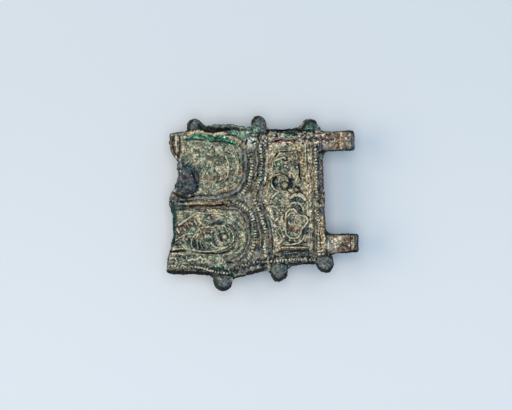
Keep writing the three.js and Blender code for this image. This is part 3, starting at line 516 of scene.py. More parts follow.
LOWER_BEZEL_LINES = strokes_of(
    (0.28, 0.4, 89, -217, 123, -178, 163, -132, 186, -102),
    (0.22, 0.32, 186, -102, 206, -85, 255, -93, 300, -101, 342, -108, 373, -123, 404, -155, 428, -189,
        443, -213),
    (-0.2, 0.3, 90, -237, 126, -194, 162, -153, 191, -115), (0.25, 0.4, 74, -258, 87, -308),
    (0.25, 0.4, 115, -245, 126, -279), (0.2, 0.35, 138, -215, 150, -248), (0.2, 0.35, 161, -190, 175, -224),
    (0.24, 0.4, 183, -160, 198, -219), (0.25, 0.35, 55, -400, 98, -354, 130, -324, 155, -320, 171, -321),
    (0.28, 0.6, 136, -377), (0.25, 0.35, 190, -336, 168, -373, 161, -418, 164, -470, 179, -504),
    (0.2, 0.28, 197, -395, 197, -447, 207, -496), (0.2, 0.28, 216, -409, 217, -455, 228, -495, 241, -470),
    (0.2, 0.28, 247, -431, 253, -464, 261, -494), (0.2, 0.28, 229, -306, 214, -338, 210, -370),
    (0.18, 0.28, 278, -310, 295, -344, 280, -375), (0.25, 1.0, 261, -367),
    (0.22, 0.32, 201, -304, 223, -260, 251, -248, 297, -260, 321, -249, 371, -245),
    (0.22, 0.32, 371, -245, 382, -293, 398, -340, 402, -385, 392, -430, 373, -448, 347, -443),
    (0.24, 0.32, 358, -317, 333, -334, 320, -372, 326, -412, 343, -439), (0.25, 0.9, 368, -373),
    (-0.1, 0.35, 365, -334, 386, -345, 392, -378, 381, -416, 352, -420, 336, -380, 344, -342, 358, -330),
    (0.26, 0.38, 284, -434, 292, -467, 312, -495, 343, -504, 379, -494, 407, -464, 423, -420, 425, -374,
        418, -322, 401, -281),
    (0.2, 0.32, 273, -216, 312, -196, 341, -160, 369, -149), (-0.15, 0.5, 280, -223, 315, -216, 357, -213),
    (0.3, 0.6, 276, -148),
    (0.25, 0.35, 164, -512, 196, -523, 223, -535, 251, -539, 280, -538, 315, -534, 350, -514, 382, -494,
        407, -470),
    (-0.22, 0.35, 164, -538, 244, -560, 331, -569, 388, -547, 420, -510, 439, -466),
    (0.2, 0.45, 46, -496, 88, -490, 123, -493),
    (0.2, 0.4, 81, -463, 96, -419, 117, -460, 140, -494, 157, -515),
    (0.2, 0.35, 30, -547, 104, -550, 135, -562), (-0.25, 0.35, 27, -521, 77, -518, 115, -515),
    (0.25, 0.35, 18, -634, 27, -599, 50, -594, 65, -625, 61, -670, 38, -687), (0.2, 0.5, 42, -636),
    (0.3, 0.4, 137, -630, 158, -616, 179, -627, 197, -616, 215, -594, 229, -618, 222, -653),
    (0.2, 0.35, 92, -594, 107, -563, 126, -577, 127, -617), (-0.25, 0.35, 106, -595, 120, -609),
    (0.2, 0.4, 523, -304, 525, -395, 512, -472, 490, -548), (0.18, 0.35, 482, -119, 505, -186, 518, -252),
    (0.25, 0.4, 473, -658, 494, -653), (0.25, 0.5, 543, -238, 546, -307, 537, -375),
    (0.17, 0.22, 431, -138, 471, -217, 493, -318, 494, -425, 476, -515, 437, -588, 386, -645),
    (0.17, 0.22, 399, -128, 442, -207, 467, -316, 467, -423, 447, -505, 409, -570),
    (0.2, -0.3, 455, -178, 494, -273, 512, -381, 505, -487, 479, -561),
)
FOOT_LINES = strokes_of(
    (0.3, 0.5, 53, -682), (0.3, 0.5, 95, -693), (0.3, 0.5, 120, -702), (0.28, 0.45, 153, -700, 160, -707),
    (0.25, 0.4, 77, -671, 112, -664, 136, -669), (0.3, 0.45, 212, -721, 240, -737),
    (0.3, 0.45, 264, -758, 285, -769), (-0.3, 0.35, 163, -723, 205, -740), (0.3, 0.5, 320, -749),
    (0.3, 0.5, 344, -761, 366, -748), (-0.2, 0.5, 378, -676, 402, -678), (0.3, 0.45, 597, -684),
    (0.25, 0.35, 573, -725, 578, -721),
)
UPPER_STRIP_LINES = strokes_of(
    (0.3, 0.4, 712, 480, 734, 499, 762, 510, 769, 489), (-0.3, 0.35, 706, 524, 721, 559),
    (-0.35, 0.4, 751, 485, 765, 479), (-0.22, 0.3, 725, 572, 771, 578, 823, 577, 851, 568),
    (0.3, 0.5, 835, 566), (0.22, 0.32, 811, 506, 822, 541, 840, 533),
    (0.22, 0.32, 790, 501, 817, 467, 834, 426), (0.3, 0.4, 780, 395), (0.28, 0.4, 763, 406, 774, 418),
    (0.3, 0.4, 793, 339, 807, 318, 818, 291), (0.25, 0.35, 813, 168, 829, 238, 844, 289),
    (-0.3, 0.3, 849, 419, 856, 347, 851, 282, 861, 249),
    (0.28, 0.35, 730, 324, 701, 307, 681, 257, 677, 198, 690, 152, 714, 121),
    (0.22, 0.32, 715, 319, 744, 323, 764, 289, 778, 236),
    (-0.25, 0.35, 704, 294, 689, 250, 688, 198, 704, 144), (0.28, 1.1, 758, 185),
    (-0.2, 0.8, 791, 248, 798, 169), (0.3, 0.9, 798, 127), (0.28, 0.8, 832, 134),
    (0.35, 0.45, 676, 52, 696, 90, 712, 105), (0.35, 0.45, 800, 42, 815, 72, 841, 79, 867, 60, 884, 13),
    (0.22, 0.35, 851, 132, 865, 105, 885, 84), (0.2, 0.3, 698, 463, 711, 410, 727, 383),
    (-0.25, 0.3, 731, 376, 747, 336, 764, 308), (0.2, 0.3, 715, 293, 728, 253, 717, 221),
    (0.2, 0.3, 676, 595, 678, 517), (0.18, 0.3, 735, 564, 763, 549), (0.18, 0.3, 768, 458, 778, 431),
    (-0.25, 0.35, 859, 470), (-0.25, 0.35, 824, 453), (-0.25, 0.35, 889, 389), (-0.25, 0.35, 889, 175),
    (-0.25, 0.35, 759, 101), (-0.2, 0.35, 904, 602, 905, 472, 916, 342, 927, 243),
    (0.2, 0.3, 897, 590, 891, 474, 899, 395), (-0.3, 0.4, 669, 713, 711, 716),
    (0.3, 0.5, 750, 755, 757, 757), (0.3, 0.5, 670, 784, 684, 783), (0.3, 0.5, 694, 743, 711, 722),
    (0.3, 0.5, 865, 706), (0.3, 0.5, 912, 771), (0.3, 0.4, 835, 777, 846, 796), (0.3, 0.45, 977, 632),
    (0.25, 0.45, 999, 660), (-0.25, 0.4, 1012, 698, 1036, 683, 1061, 687), (0.25, 0.4, 1031, 774, 1048, 760),
    (-0.3, 0.35, 984, 551, 1009, 568), (0.28, 0.45, 679, 59),
    (0.45, 1.0, 678, 796, 740, 778, 810, 773, 880, 767, 933, 763),
    (0.4, 0.8, 676, 725, 739, 730, 809, 730, 879, 731), (-0.25, 0.5, 694, 762, 705, 781),
    (-0.25, 0.5, 746, 732, 740, 759), (-0.25, 0.5, 795, 741), (0.25, 0.5, 817, 752), (-0.25, 0.5, 849, 769),
    (0.25, 0.5, 879, 721),
)
LOWER_STRIP_LINES = strokes_of(
    (0.35, 0.45, 790, 42, 809, 59, 834, 65, 864, 48, 881, 7),
    (0.32, 0.42, 793, -27, 825, -13, 853, -41, 865, -84, 868, -121),
    (0.28, 0.38, 752, -187, 762, -127, 782, -97, 810, -93, 827, -134),
    (0.22, 0.32, 766, -171, 786, -134, 811, -144),
    (0.3, 0.4, 756, -196, 750, -255, 750, -324, 756, -384, 775, -421, 802, -433, 826, -420, 845, -374,
        849, -332, 870, -295, 890, -245, 887, -198, 863, -170, 826, -167),
    (0.22, 0.35, 794, -173, 811, -217, 806, -260), (0.25, 0.32, 733, -399, 725, -339, 717, -287),
    (0.25, 0.38, 745, -503, 786, -502, 824, -488, 853, -452, 868, -403), (0.3, 0.5, 740, -400),
    (0.3, 0.5, 808, -461), (0.3, 0.5, 870, -462), (-0.35, 0.4, 898, -190), (-0.35, 0.4, 884, -370),
    (-0.35, 0.4, 830, -411), (-0.3, 0.4, 725, -510), (-0.3, 0.4, 806, -45),
    (0.25, 0.38, 726, -527, 776, -529, 822, -533, 888, -545), (0.2, 0.35, 775, -570, 831, -570, 891, -579),
    (-0.3, 0.35, 731, -510, 795, -516, 851, -520),
    (0.25, 0.35, 647, -144, 668, -240, 671, -334, 676, -455, 671, -548),
    (0.25, 0.35, 694, -276, 703, -354, 719, -400), (0.25, 0.4, 708, -312, 727, -287, 740, -323),
    (0.28, 0.45, 691, -216, 706, -191), (0.28, 0.45, 730, -125), (0.28, 0.45, 746, -53),
    (0.25, 0.4, 677, -39, 704, -71), (0.3, 0.5, 745, -666, 740, -700, 753, -718), (0.35, 0.5, 794, -678),
    (0.3, 0.45, 828, -685), (0.3, 0.4, 866, -658, 874, -702), (0.3, 0.4, 889, -652, 899, -704),
    (0.3, 0.45, 925, -680), (0.3, 0.5, 671, -694), (0.3, 0.45, 726, -698), (-0.35, 0.35, 763, -689),
    (-0.35, 0.35, 814, -697), (-0.35, 0.35, 851, -683), (0.28, 0.45, 967, 19), (0.28, 0.45, 959, -41),
    (0.28, 0.45, 961, -127), (0.3, 0.5, 980, -629), (0.2, 0.35, 944, -185, 944, -288, 936, -407, 936, -527),
    (-0.25, 0.35, 932, -184, 931, -355, 923, -577), (-0.2, 0.35, 961, -358, 966, -529),
    (0.2, 0.35, 1004, -481, 1022, -508, 1044, -536), (0.22, 0.4, 1030, -535, 1063, -512, 1099, -484),
    (-0.2, 0.35, 1005, -627, 1051, -631, 1112, -618, 1181, -603), (0.2, 0.35, 1171, -435, 1173, -580),
    (-0.2, 0.35, 1153, -425, 1151, -596),
)
RELIEF_STROKES: tuple[Stroke, ...] = (
    *UPPER_BEZEL_LINES, *LOWER_BEZEL_LINES, *FOOT_LINES, *UPPER_STRIP_LINES, *LOWER_STRIP_LINES)

CRUMBS: tuple[Specks, ...] = (
    Specks(0.1, 0.3, 260, seed=1), Specks(-0.13, 0.24, 260, seed=2),
    Specks(0.2, 0.34, 110, (0.78, 0.8), (0.22, 0.15), 3),
    Specks(-0.2, 0.3, 90, (0.78, 0.8), (0.22, 0.15), 4),
    Specks(-0.22, 0.3, 60, (0.28, -0.78), (0.28, 0.06), 5),
    Specks(-0.22, 0.36, 40, (0.78, -0.69), (0.24, 0.06), 6),
)

# Points are shifted in steps, each by a weight of one vertex group
WEIGHT_STEPS = 24
SHIFT_GROUP = "shifted"
LEAST_SHIFT = 1e-4


def shift_points(piece: bpy.types.Object, heights: np.ndarray, axis: str = "Z") -> None:
    """Shift each point of a piece along an axis, or back where its height is below zero.

    Args:
        piece: The piece, in millimetres.
        heights: How far each point goes in millimetres.
        axis: The axis, X, Y or Z.
    """
    for sign in (1, -1):
        rise = np.clip(heights * sign, 0, None)
        most = float(rise.max(initial=0.0))
        if most < LEAST_SHIFT:
            continue
        group = piece.vertex_groups.new(name=SHIFT_GROUP)
        levels = np.round(rise / most * WEIGHT_STEPS).astype(int)
        for level in range(1, WEIGHT_STEPS + 1):
            members = np.nonzero(levels == level)[0].tolist()
            if members:
                group.add(members, level / WEIGHT_STEPS, "REPLACE")
        apply_modifier(
            piece, "DISPLACE", vertex_group=SHIFT_GROUP, direction=axis,
            strength=most * sign, mid_level=0.0)
        bpy.ops.object.vertex_group_remove(all=True)


# How level the skin must be for the graver to reach it, and how soon it is reached fully
GRAVED_FACING = 0.1
GRAVED_GAIN = 3


def engrave(piece: bpy.types.Object, relief: np.ndarray) -> None:
    """Raise or cut the strokes in the upper face of a piece.

    Args:
        piece: The piece, in millimetres.
        relief: The chart of the strokes' heights.
    """
    points = points_of(piece)
    upward = np.clip((facing_of(piece) - GRAVED_FACING) * GRAVED_GAIN, 0, 1)
    heights = read_chart(relief, points) * upward
    limit = np.maximum(FACE_TOP - points[:, 2], np.minimum(HIGHEST_TOP - points[:, 2], 0))
    shift_points(piece, np.minimum(heights, limit))


@dataclass(frozen=True)
class Flare:
    """How a lug leaves the plate and how its far end is rounded, in millimetres.

    Attributes:
        below: How far its root widens on the side of -Y.
        above: How far its root widens on the side of +Y.
        length: How far the widening runs along the lug.
        rounding: How far the corners of its far end come in.
        tip: The length of the rounded end.
        clear: How many lengths from the plate the lug has its own width.
    """

    below: float
    above: float
    length: float
    rounding: float = 0.34
    tip: float = 0.8
    clear: float = 2.5

    def shape(self, lug: bpy.types.Object) -> None:
        """Widen the root of a lug and round its far corners.

        Args:
            lug: The lug, in millimetres.
        """
        points = points_of(lug)
        along = points[:, 0] - PLATE_RIGHT
        arm = points[along > self.clear * self.length, 1]
        side = (points[:, 1] - (arm.max() + arm.min()) / 2) / (np.ptp(arm) / 2)
        root = np.exp(-np.square(np.clip(along, 0, None) / self.length))
        widening = np.where(side > 0, self.above, self.below) * root
        end = np.clip((along - along.max() + self.tip) / self.tip, 0, 1)
        shift_points(lug, np.clip(side, -1, 1) * (widening - self.rounding * end ** 2), "Y")


# Patina: the finishes and the deposits on them

class Deposit(Enum):
    """The deposits and wear that lie on the patina in places, and the painted shade and highlights laid in
    the same way: a deep and a pale tone.
    """

    SLATE = (tint(30, 40, 46), tint(92, 104, 110))
    BROWN = (tint(46, 38, 34), tint(130, 110, 94))
    # The next two are partly painted highlight: pale upright bands on the lugs' barrels; the rest is tan and
    # sandy deposit
    TAN = (tint(108, 95, 70), tint(206, 189, 155))
    SAND = (tint(140, 134, 118), tint(228, 222, 206))
    # Partly painted highlight: a pale line along the upper edge between the first two upper lobes; the rest
    # is pale green patina
    MINT = (tint(84, 102, 86), tint(150, 166, 142))
    MALACHITE = (tint(8, 64, 54), tint(66, 158, 126))
    CUPRITE = (tint(96, 44, 48), tint(218, 178, 178))
    # Partly painted highlight: faint pale dots in the middle of the lobes; the rest is silvery deposit
    SILVER = (tint(96, 116, 118), tint(226, 238, 236))
    CREAM = (tint(168, 168, 138), tint(238, 234, 210))
    # Partly painted shade: black along the lower and outer edges of the lobes, the lugs and the plate; the
    # rest is dark pits and corrosion
    DARK = (tint(8, 10, 12), tint(34, 36, 38))
    TEAL = (tint(4, 26, 28), tint(34, 84, 76))


# The colour attributes of a piece, and what each of their four channels holds
RELIEF_ATTRIBUTE = "relief"
EARTH_ATTRIBUTE = "earth_deposits_and_highlights"
DEPOSIT_AND_HIGHLIGHT_ATTRIBUTES: dict[str, tuple[Deposit, ...]] = {
    EARTH_ATTRIBUTE: (Deposit.SLATE, Deposit.BROWN, Deposit.TAN, Deposit.SAND),
    "bright_deposits_and_highlights": (Deposit.MINT, Deposit.MALACHITE, Deposit.CUPRITE, Deposit.SILVER),
}
TOP_ATTRIBUTE = "top_deposits_and_shade"
# The top layers also hold the painted shade along the edges
TOP_DEPOSITS_AND_SHADE: tuple[Deposit, ...] = (Deposit.CREAM, Deposit.DARK, Deposit.TEAL)


@dataclass(frozen=True)
class PatinaFinish:
    """The patina of one kind of form.

    Attributes:
        title: The material's name.
        ground: The general tone.
        second: The tone of the patches in it.
        crest: The tone of what is worn bright.
        dirt_and_shade: The tone of the dirt and painted shade in the low places, on steep flanks and beside
            graved lines.
        mottle: How many times brighter the lightest grain is than the darkest.
        wear: How fully the high places are worn.
        worn_from: How high a place is that begins to be worn.
        soiling_and_shade: How much of the low places dirt and painted shade fill.
        roughness: The gloss, from 0, polished, to 1, matt.
        metal: How metallic the skin is.
        bump: The strength of the finest relief.
        gloss: How strongly the clean places mirror the light.
    """

    title: str
    ground: Colour
    second: Colour
    crest: Colour
    dirt_and_shade: Colour
    mottle: float = 6.0
    wear: float = 1.0
    worn_from: float = 0.58
    soiling_and_shade: float = 1.0
    roughness: float = 0.6
    metal: float = 0.0
    bump: float = 0.5
    gloss: float = 0.12


OLIVE_FIELD = PatinaFinish(
    "olive_field_patina", tint(101, 118, 102), tint(140, 134, 112), tint(234, 239, 218), tint(18, 24, 23),
    mottle=6.5)
STRIP_FIELD = PatinaFinish(
    "tan_strip_patina", tint(98, 106, 95), tint(140, 132, 110), tint(232, 230, 204), tint(18, 20, 18),
    mottle=5.5)
SLATE_ROLL = PatinaFinish(
    "slate_roll_patina", tint(62, 72, 73), tint(86, 84, 80), tint(172, 174, 164), tint(28, 29, 27),
    mottle=6.0, wear=0.6, worn_from=0.6, soiling_and_shade=0.6, roughness=0.38, metal=0.15, gloss=0.18)
TAN_BEAD = PatinaFinish(
    "tan_bead_patina", tint(86, 96, 88), tint(116, 116, 98), tint(238, 239, 216), tint(14, 17, 15),
    mottle=7.0)
PLATE_CAST = PatinaFinish(
    "plate_patina", tint(70, 80, 80), tint(102, 98, 86), tint(192, 194, 180), tint(12, 12, 12),
    mottle=8.0, wear=0.5, worn_from=0.62, roughness=0.45)
DARK_CAST = PatinaFinish(
    "dark_cast_patina", tint(37, 46, 49), tint(52, 56, 54), tint(146, 158, 160), tint(6, 8, 10),
    mottle=4.5, wear=0.45, worn_from=0.62, roughness=0.3, metal=0.05, bump=0.3, gloss=0.2)
TAN_RIDGE = PatinaFinish(
    "tan_ridge_patina", tint(104, 104, 84), tint(140, 124, 96), tint(226, 212, 178), tint(20, 18, 16),
    wear=0.7)
BROWN_LUG = PatinaFinish(
    "brown_lug_patina", tint(70, 66, 58), tint(98, 90, 76), tint(186, 182, 166), tint(14, 12, 10),
    mottle=5.5, wear=0.3, worn_from=0.66, roughness=0.34, metal=0.12, gloss=0.22)
BLACK_LUMP = PatinaFinish(
    "black_corrosion", tint(32, 42, 44), tint(52, 44, 54), tint(128, 140, 142), tint(4, 6, 8),
    mottle=6.0, wear=0.5, worn_from=0.64, roughness=0.3, bump=0.8, gloss=0.16)

# The inputs and the output of the node that mixes two colours
MIX_SHARE = 0
MIX_FIRST = 6
MIX_SECOND = 7
MIX_RESULT = 2


class NodeBench:
    """Adds and links the nodes of one material or world.

    Attributes:
        tree: The nodes.
    """

    def __init__(self, owner: bpy.types.Material | bpy.types.World) -> None:
        """Clear the nodes of a material or world.

        Args:
            owner: What the nodes belong to.
        """
        owner.use_nodes = True
        self.tree = owner.node_tree
        self.tree.nodes.clear()

    def add(self, kind: str, **settings: object) -> bpy.types.Node:
        """Add a node.

        Args:
            kind: The node's type.
            settings: The node's own settings.

        Returns:
            The node.
        """
        node = self.tree.nodes.new(kind)
        for name, value in settings.items():
            setattr(node, name, value)
        return node

    def feed(self, target: bpy.types.NodeSocket, value: object) -> None:
        """Give an input what it reads.

        Args:
            target: The input.
            value: A socket to read, a colour or a number.
        """
        if isinstance(value, bpy.types.NodeSocket):
            self.tree.links.new(value, target)
        elif isinstance(value, tuple):
            target.default_value = (*value, 1.0)
        else:
            target.default_value = value

    def maths(self, operation: str, first: object, second: object = 0.0) -> bpy.types.NodeSocket:
        """Work out one step of arithmetic.

        Args:
            operation: The step.
            first: The first value, a socket or a number.
            second: The second value.

        Returns:
            The result.
        """
        node = self.add("ShaderNodeMath", operation=operation)
        self.feed(node.inputs[0], first)
        self.feed(node.inputs[1], second)
        return node.outputs[0]

    def spread(self, value: object, low: float, high: float, first: float = 0.0,
               last: float = 1.0) -> bpy.types.NodeSocket:
        """Stretch a span of values to another one, smoothly.

        Args:
            value: The value.
            low: Where the span begins.
            high: Where it ends.
            first: What it gives at its beginning.
            last: What it gives at its end.

        Returns:
            The stretched value.
        """
        node = self.add("ShaderNodeMapRange", interpolation_type="SMOOTHSTEP")
        self.feed(node.inputs[0], value)
        for socket, number in zip(node.inputs[1:5], (low, high, first, last)):
            socket.default_value = number
        return node.outputs[0]

    def blend(self, share: object, first: object, second: object,
              way: str = "MIX") -> bpy.types.NodeSocket:
        """Mix two colours.

        Args:
            share: How much of the second one there is, from 0 to 1.
            first: The first colour.
            second: The second colour.
            way: How they are mixed.

        Returns:
            The mixed colour.
        """
        node = self.add("ShaderNodeMix", data_type="RGBA", blend_type=way)
        self.feed(node.inputs[MIX_SHARE], share)
        self.feed(node.inputs[MIX_FIRST], first)
        self.feed(node.inputs[MIX_SECOND], second)
        return node.outputs[MIX_RESULT]

    def noise(self, place: bpy.types.NodeSocket, size: float, detail: float,
              roughness: float) -> bpy.types.NodeSocket:
        """Read a noise.

        Args:
            place: The coordinates.
            size: The size of its features in millimetres.
            detail: How many finer noises lie in it.
            roughness: How strong those are.

        Returns:
            The noise, which lies about one half.
        """
        node = self.add("ShaderNodeTexNoise")
        self.feed(node.inputs["Vector"], place)
        node.inputs["Scale"].default_value = MM_PER_METRE / size
        node.inputs["Detail"].default_value = detail
        node.inputs["Roughness"].default_value = roughness
        return node.outputs[0]

    def grains(self, place: bpy.types.NodeSocket, size: float) -> list[bpy.types.NodeSocket]:
        """Read the random values that the grains of a skin have.

        Args:
            place: The coordinates.
            size: The size of a grain in millimetres.

        Returns:
            Three values from 0 to 1.
        """
        node = self.add("ShaderNodeTexVoronoi")
        self.feed(node.inputs["Vector"], place)
        node.inputs["Scale"].default_value = MM_PER_METRE / size
        parts = self.add("ShaderNodeSeparateColor")
        self.feed(parts.inputs[0], node.outputs["Color"])
        return list(parts.outputs[:3])

    def channels(self, attribute: str) -> list[bpy.types.NodeSocket]:
        """Read a colour attribute.

        Args:
            attribute: Its name.

        Returns:
            Its four channels.
        """
        source = self.add("ShaderNodeAttribute", attribute_name=attribute)
        parts = self.add("ShaderNodeSeparateColor")
        self.feed(parts.inputs[0], source.outputs["Color"])
        return [*parts.outputs[:3], source.outputs["Alpha"]]

    def shifted(self, value: object, noise: bpy.types.NodeSocket, reach: float) -> bpy.types.NodeSocket:
        """Break a value up by a noise that lies about one half."""
        return self.maths("ADD", value, self.maths("MULTIPLY", self.maths("SUBTRACT", noise, 0.5), reach))


@dataclass(frozen=True)
class Layer:
    """Where one layer of a patina lies, by the value that it follows.

    Attributes:
        low: The value at which it sets in.
        high: The value at which it is full.
        share: How fully it covers there.
        ragged: How far the grain breaks its edge.
    """

    low: float
    high: float
    share: float = 1.0
    ragged: float = 0.0


@dataclass(frozen=True)
class PatinaPattern:
    """How every patina is patterned.

    Attributes:
        patch: The size of the patches in millimetres, their detail and roughness.
        blotch: The same of the blotches.
        grain: The same of the grain.
        crystal: The size of a crystal in millimetres.
        lights: How much grain, crystals, blotches and patches lighten and darken.
        brightest: How many times brighter than its tone a place may be.
        height_parts: The parts of the fine and of the broad relief in the height.
        height_breaks: How far blotches and grain break the height.
        second: Where the patches take the second tone.
        pale: Where the crystals are paler.
        deposit: Where a deposit lies.
        thin: Where no deposit is so thin that it can't be seen.
        tones: Where the crystals of a deposit have its pale tone.
        worn_span: How much higher a place is that is fully worn.
        wear: How fully a bare and a covered place are worn.
        covered: Where a deposit keeps a place from wear.
        worn_tone: Where the crystals of a worn place have the crest's tone.
        soiled_and_shaded: Where dirt and painted shade fill the low places.
        painted_flank_shade: Where shade is painted on steep flanks.
        beside: Where it is dark beside a graved line.
        graved: Where a raised line is rubbed bright.
        rough: Where the blotches are roughest.
        rough_reach: How much less and how much more rough a place may be.
        dull: Where dirt and painted shade take the gloss away.
        bump_depth: The depth of the finest relief in millimetres.
    """

    patch: tuple[float, float, float] = (2.4, 4.0, 0.6)
    blotch: tuple[float, float, float] = (0.9, 4.0, 0.65)
    grain: tuple[float, float, float] = (0.48, 3.0, 0.75)
    crystal: float = 0.36
    lights: tuple[float, float, float, float] = (2.4, 0.4, 2.6, 1.0)
    brightest: float = 2.2
    height_parts: Span = (0.65, 0.35)
    height_breaks: Span = (0.2, 0.3)
    second: Layer = Layer(0.4, 0.6)
    pale: Layer = Layer(0.6, 1.0, 0.3)
    deposit: Layer = Layer(0.2, 0.65, ragged=1.5)
    thin: Layer = Layer(0.02, 0.3)
    tones: Layer = Layer(0.1, 0.9)
    worn_span: float = 0.2
    wear: Span = (0.92, 0.15)
    covered: Layer = Layer(0.1, 0.8)
    worn_tone: Layer = Layer(0.0, 0.8)
    soiled_and_shaded: Layer = Layer(0.44, 0.2, 0.9)
    # Painted shade: the more upright the skin stands, the darker it is painted
    painted_flank_shade: Layer = Layer(0.25, 1.0, 0.7, 0.5)
    beside: Layer = Layer(0.4, 0.12, 0.7, 0.6)
    graved: Layer = Layer(0.6, 0.9, 0.9, 0.8)
    rough: Layer = Layer(0.3, 0.7)
    rough_reach: Span = (0.12, 0.18)
    dull: Layer = Layer(0.0, 0.8)
    bump_depth: float = 0.16


class PatinaPainter:
    """Makes the material of one patina from the object's own coordinates and the
    pieces' colour attributes.

    Attributes:
        finish: What the patina looks like.
        pattern: How it is patterned.
        material: The material.
        bench: Where its nodes are added.
    """

    def __init__(self, finish: PatinaFinish, pattern: PatinaPattern = PatinaPattern()) -> None:
        """Read the noises and the relief that the patina follows.

        Args:
            finish: What the patina looks like.
            pattern: How it is patterned.
        """
        self.finish = finish
        self.pattern = pattern
        self.material = bpy.data.materials.new(finish.title)
        self.bench = NodeBench(self.material)
        place = self.bench.add("ShaderNodeTexCoord").outputs["Object"]
        self.patches = self.bench.noise(place, *pattern.patch)
        self.blotches = self.bench.noise(place, *pattern.blotch)
        self.grain = self.bench.noise(place, *pattern.grain)
        self.first, self.second, self.third = self.bench.grains(place, pattern.crystal)
        self.fine, self.broad, self.steep, self.lines = self.bench.channels(RELIEF_ATTRIBUTE)

    def layer(self, value: object, layer: Layer, whole: float = 1.0) -> bpy.types.NodeSocket:
        """Find where a layer lies.

        Args:
            value: The value that it follows.
            layer: The layer.
            whole: What its share is taken of.

        Returns:
            How fully it covers each place.
        """
        if layer.ragged:
            value = self.bench.shifted(value, self.grain, layer.ragged)
        found, share = self.bench.spread(value, layer.low, layer.high), layer.share * whole
        return self.bench.maths("MULTIPLY", found, share) if share < 1 else found

    def cover(self, under: object, deposit: Deposit, share: object) -> bpy.types.NodeSocket:
        """Lay a deposit on a colour, broken at its edge and in its grain; painted shade and highlights are
        laid in the same way.

        Args:
            under: The colour below.
            deposit: The deposit.
            share: How fully it covers.

        Returns:
            The colour with the deposit on it.
        """
        deep, pale = deposit.value
        broken = self.bench.maths(
            "MULTIPLY", self.layer(share, self.pattern.deposit), self.layer(share, self.pattern.thin))
        tone = self.bench.blend(self.layer(self.second, self.pattern.tones), deep, pale)
        return self.bench.blend(broken, under, tone)

    def ground(self, light: object) -> bpy.types.NodeSocket:
        """Mix the ground, lay the lower deposits and their painted highlights on it, and lighten and darken
        it all.

        Args:
            light: What lightens and darkens, about one half.

        Returns:
            The colour.
        """
        bench, pattern, finish = self.bench, self.pattern, self.finish
        colour = bench.blend(self.layer(self.patches, pattern.second), finish.ground, finish.second)
        colour = bench.blend(self.layer(self.third, pattern.pale), colour, finish.crest)
        for attribute, deposits in DEPOSIT_AND_HIGHLIGHT_ATTRIBUTES.items():
            for deposit, share in zip(deposits, bench.channels(attribute)):
                colour = self.cover(colour, deposit, share)
        tone = bench.maths("POWER", finish.mottle, bench.maths("SUBTRACT", light, 0.5))
        tones = bench.add("ShaderNodeCombineColor")
        for socket in tones.inputs[:3]:
            bench.feed(socket, bench.maths("MINIMUM", tone, pattern.brightest))
        return bench.blend(1.0, colour, tones.outputs[0], "MULTIPLY")

    def height(self) -> bpy.types.NodeSocket:
        """Add up how high each place lies, about one half.

        Returns:
            The height.
        """
        fine, broad = (
            self.bench.maths("MULTIPLY", relief, part)
            for relief, part in zip((self.fine, self.broad), self.pattern.height_parts))
        height = self.bench.maths("ADD", fine, broad)
        for noise, reach in zip((self.blotches, self.grain), self.pattern.height_breaks):
            height = self.bench.shifted(height, noise, reach)
        return height

    def worn(self, colour: object, height: object) -> bpy.types.NodeSocket:
        """Rub the high places bright, less where a deposit covers them.

        Args:
            colour: The colour.
            height: How high each place lies.

        Returns:
            The colour with its wear.
        """
        bench, pattern, finish = self.bench, self.pattern, self.finish
        covered = bench.maths("MAXIMUM", *bench.channels(EARTH_ATTRIBUTE)[:2])
        bare_wear, covered_wear = pattern.wear
        worn = bench.maths(
            "MULTIPLY", bench.spread(height, finish.worn_from, finish.worn_from + pattern.worn_span),
            bench.spread(covered, pattern.covered.low, pattern.covered.high, bare_wear * finish.wear,
                         covered_wear * finish.wear))
        tone = bench.blend(self.layer(self.second, pattern.worn_tone), finish.second, finish.crest)
        return bench.blend(worn, colour, tone)

    def dirt_and_shade(self, height: object) -> bpy.types.NodeSocket:
        """Find where dirt and painted shade lie: both in low places, painted shade on steep flanks, and
        darkening beside graved lines.

        Args:
            height: How high each place lies.

        Returns:
            How much dirt and painted shade each place has.
        """
        # Dirt and painted shade in the low places
        found = self.layer(height, self.pattern.soiled_and_shaded, self.finish.soiling_and_shade)
        # Painted shade on steep flanks, and darkening beside graved lines
        for value, layer in ((self.steep, self.pattern.painted_flank_shade), (self.lines, self.pattern.beside)):
            found = self.bench.maths("MAXIMUM", found, self.layer(value, layer))
        return found

    def paint(self) -> bpy.types.Material:
        """Lay all the layers and make the shader.

        Returns:
            The material.
        """
        bench, pattern, finish = self.bench, self.pattern, self.finish
        light = 0.5
        for noise, reach in zip((self.grain, self.first, self.blotches, self.patches), pattern.lights):
            light = bench.shifted(light, noise, reach)
        height = self.height()
        # Dirt and painted shade darken the low places, and painted shade darkens the steep flanks
        dirt_and_shade_cover = self.dirt_and_shade(height)
        colour = bench.blend(dirt_and_shade_cover, self.worn(self.ground(light), height), finish.dirt_and_shade)
        tone = bench.blend(self.second, finish.second, finish.crest)
        colour = bench.blend(self.layer(self.lines, pattern.graved), colour, tone)
        for deposit, share in zip(TOP_DEPOSITS_AND_SHADE, bench.channels(TOP_ATTRIBUTE)):
            colour = self.cover(colour, deposit, share)
        less, more = pattern.rough_reach
        shader = bench.add("ShaderNodeBsdfPrincipled")
        shader.inputs["Metallic"].default_value = finish.metal
        bench.feed(shader.inputs["Base Color"], colour)
        bench.feed(shader.inputs["Roughness"], bench.spread(
            self.blotches, pattern.rough.low, pattern.rough.high, finish.roughness - less,
            finish.roughness + more))
        bench.feed(shader.inputs["Specular IOR Level"], bench.spread(
            dirt_and_shade_cover, pattern.dull.low, pattern.dull.high, finish.gloss, 0.0))
        bump = bench.add("ShaderNodeBump")
        bump.inputs["Strength"].default_value = finish.bump
        bump.inputs["Distance"].default_value = pattern.bump_depth / MM_PER_METRE
        bench.feed(bump.inputs["Height"], light)
        bench.feed(shader.inputs["Normal"], bump.outputs[0])
        output = bench.add("ShaderNodeOutputMaterial")
        bench.feed(output.inputs["Surface"], shader.outputs[0])
        return self.material
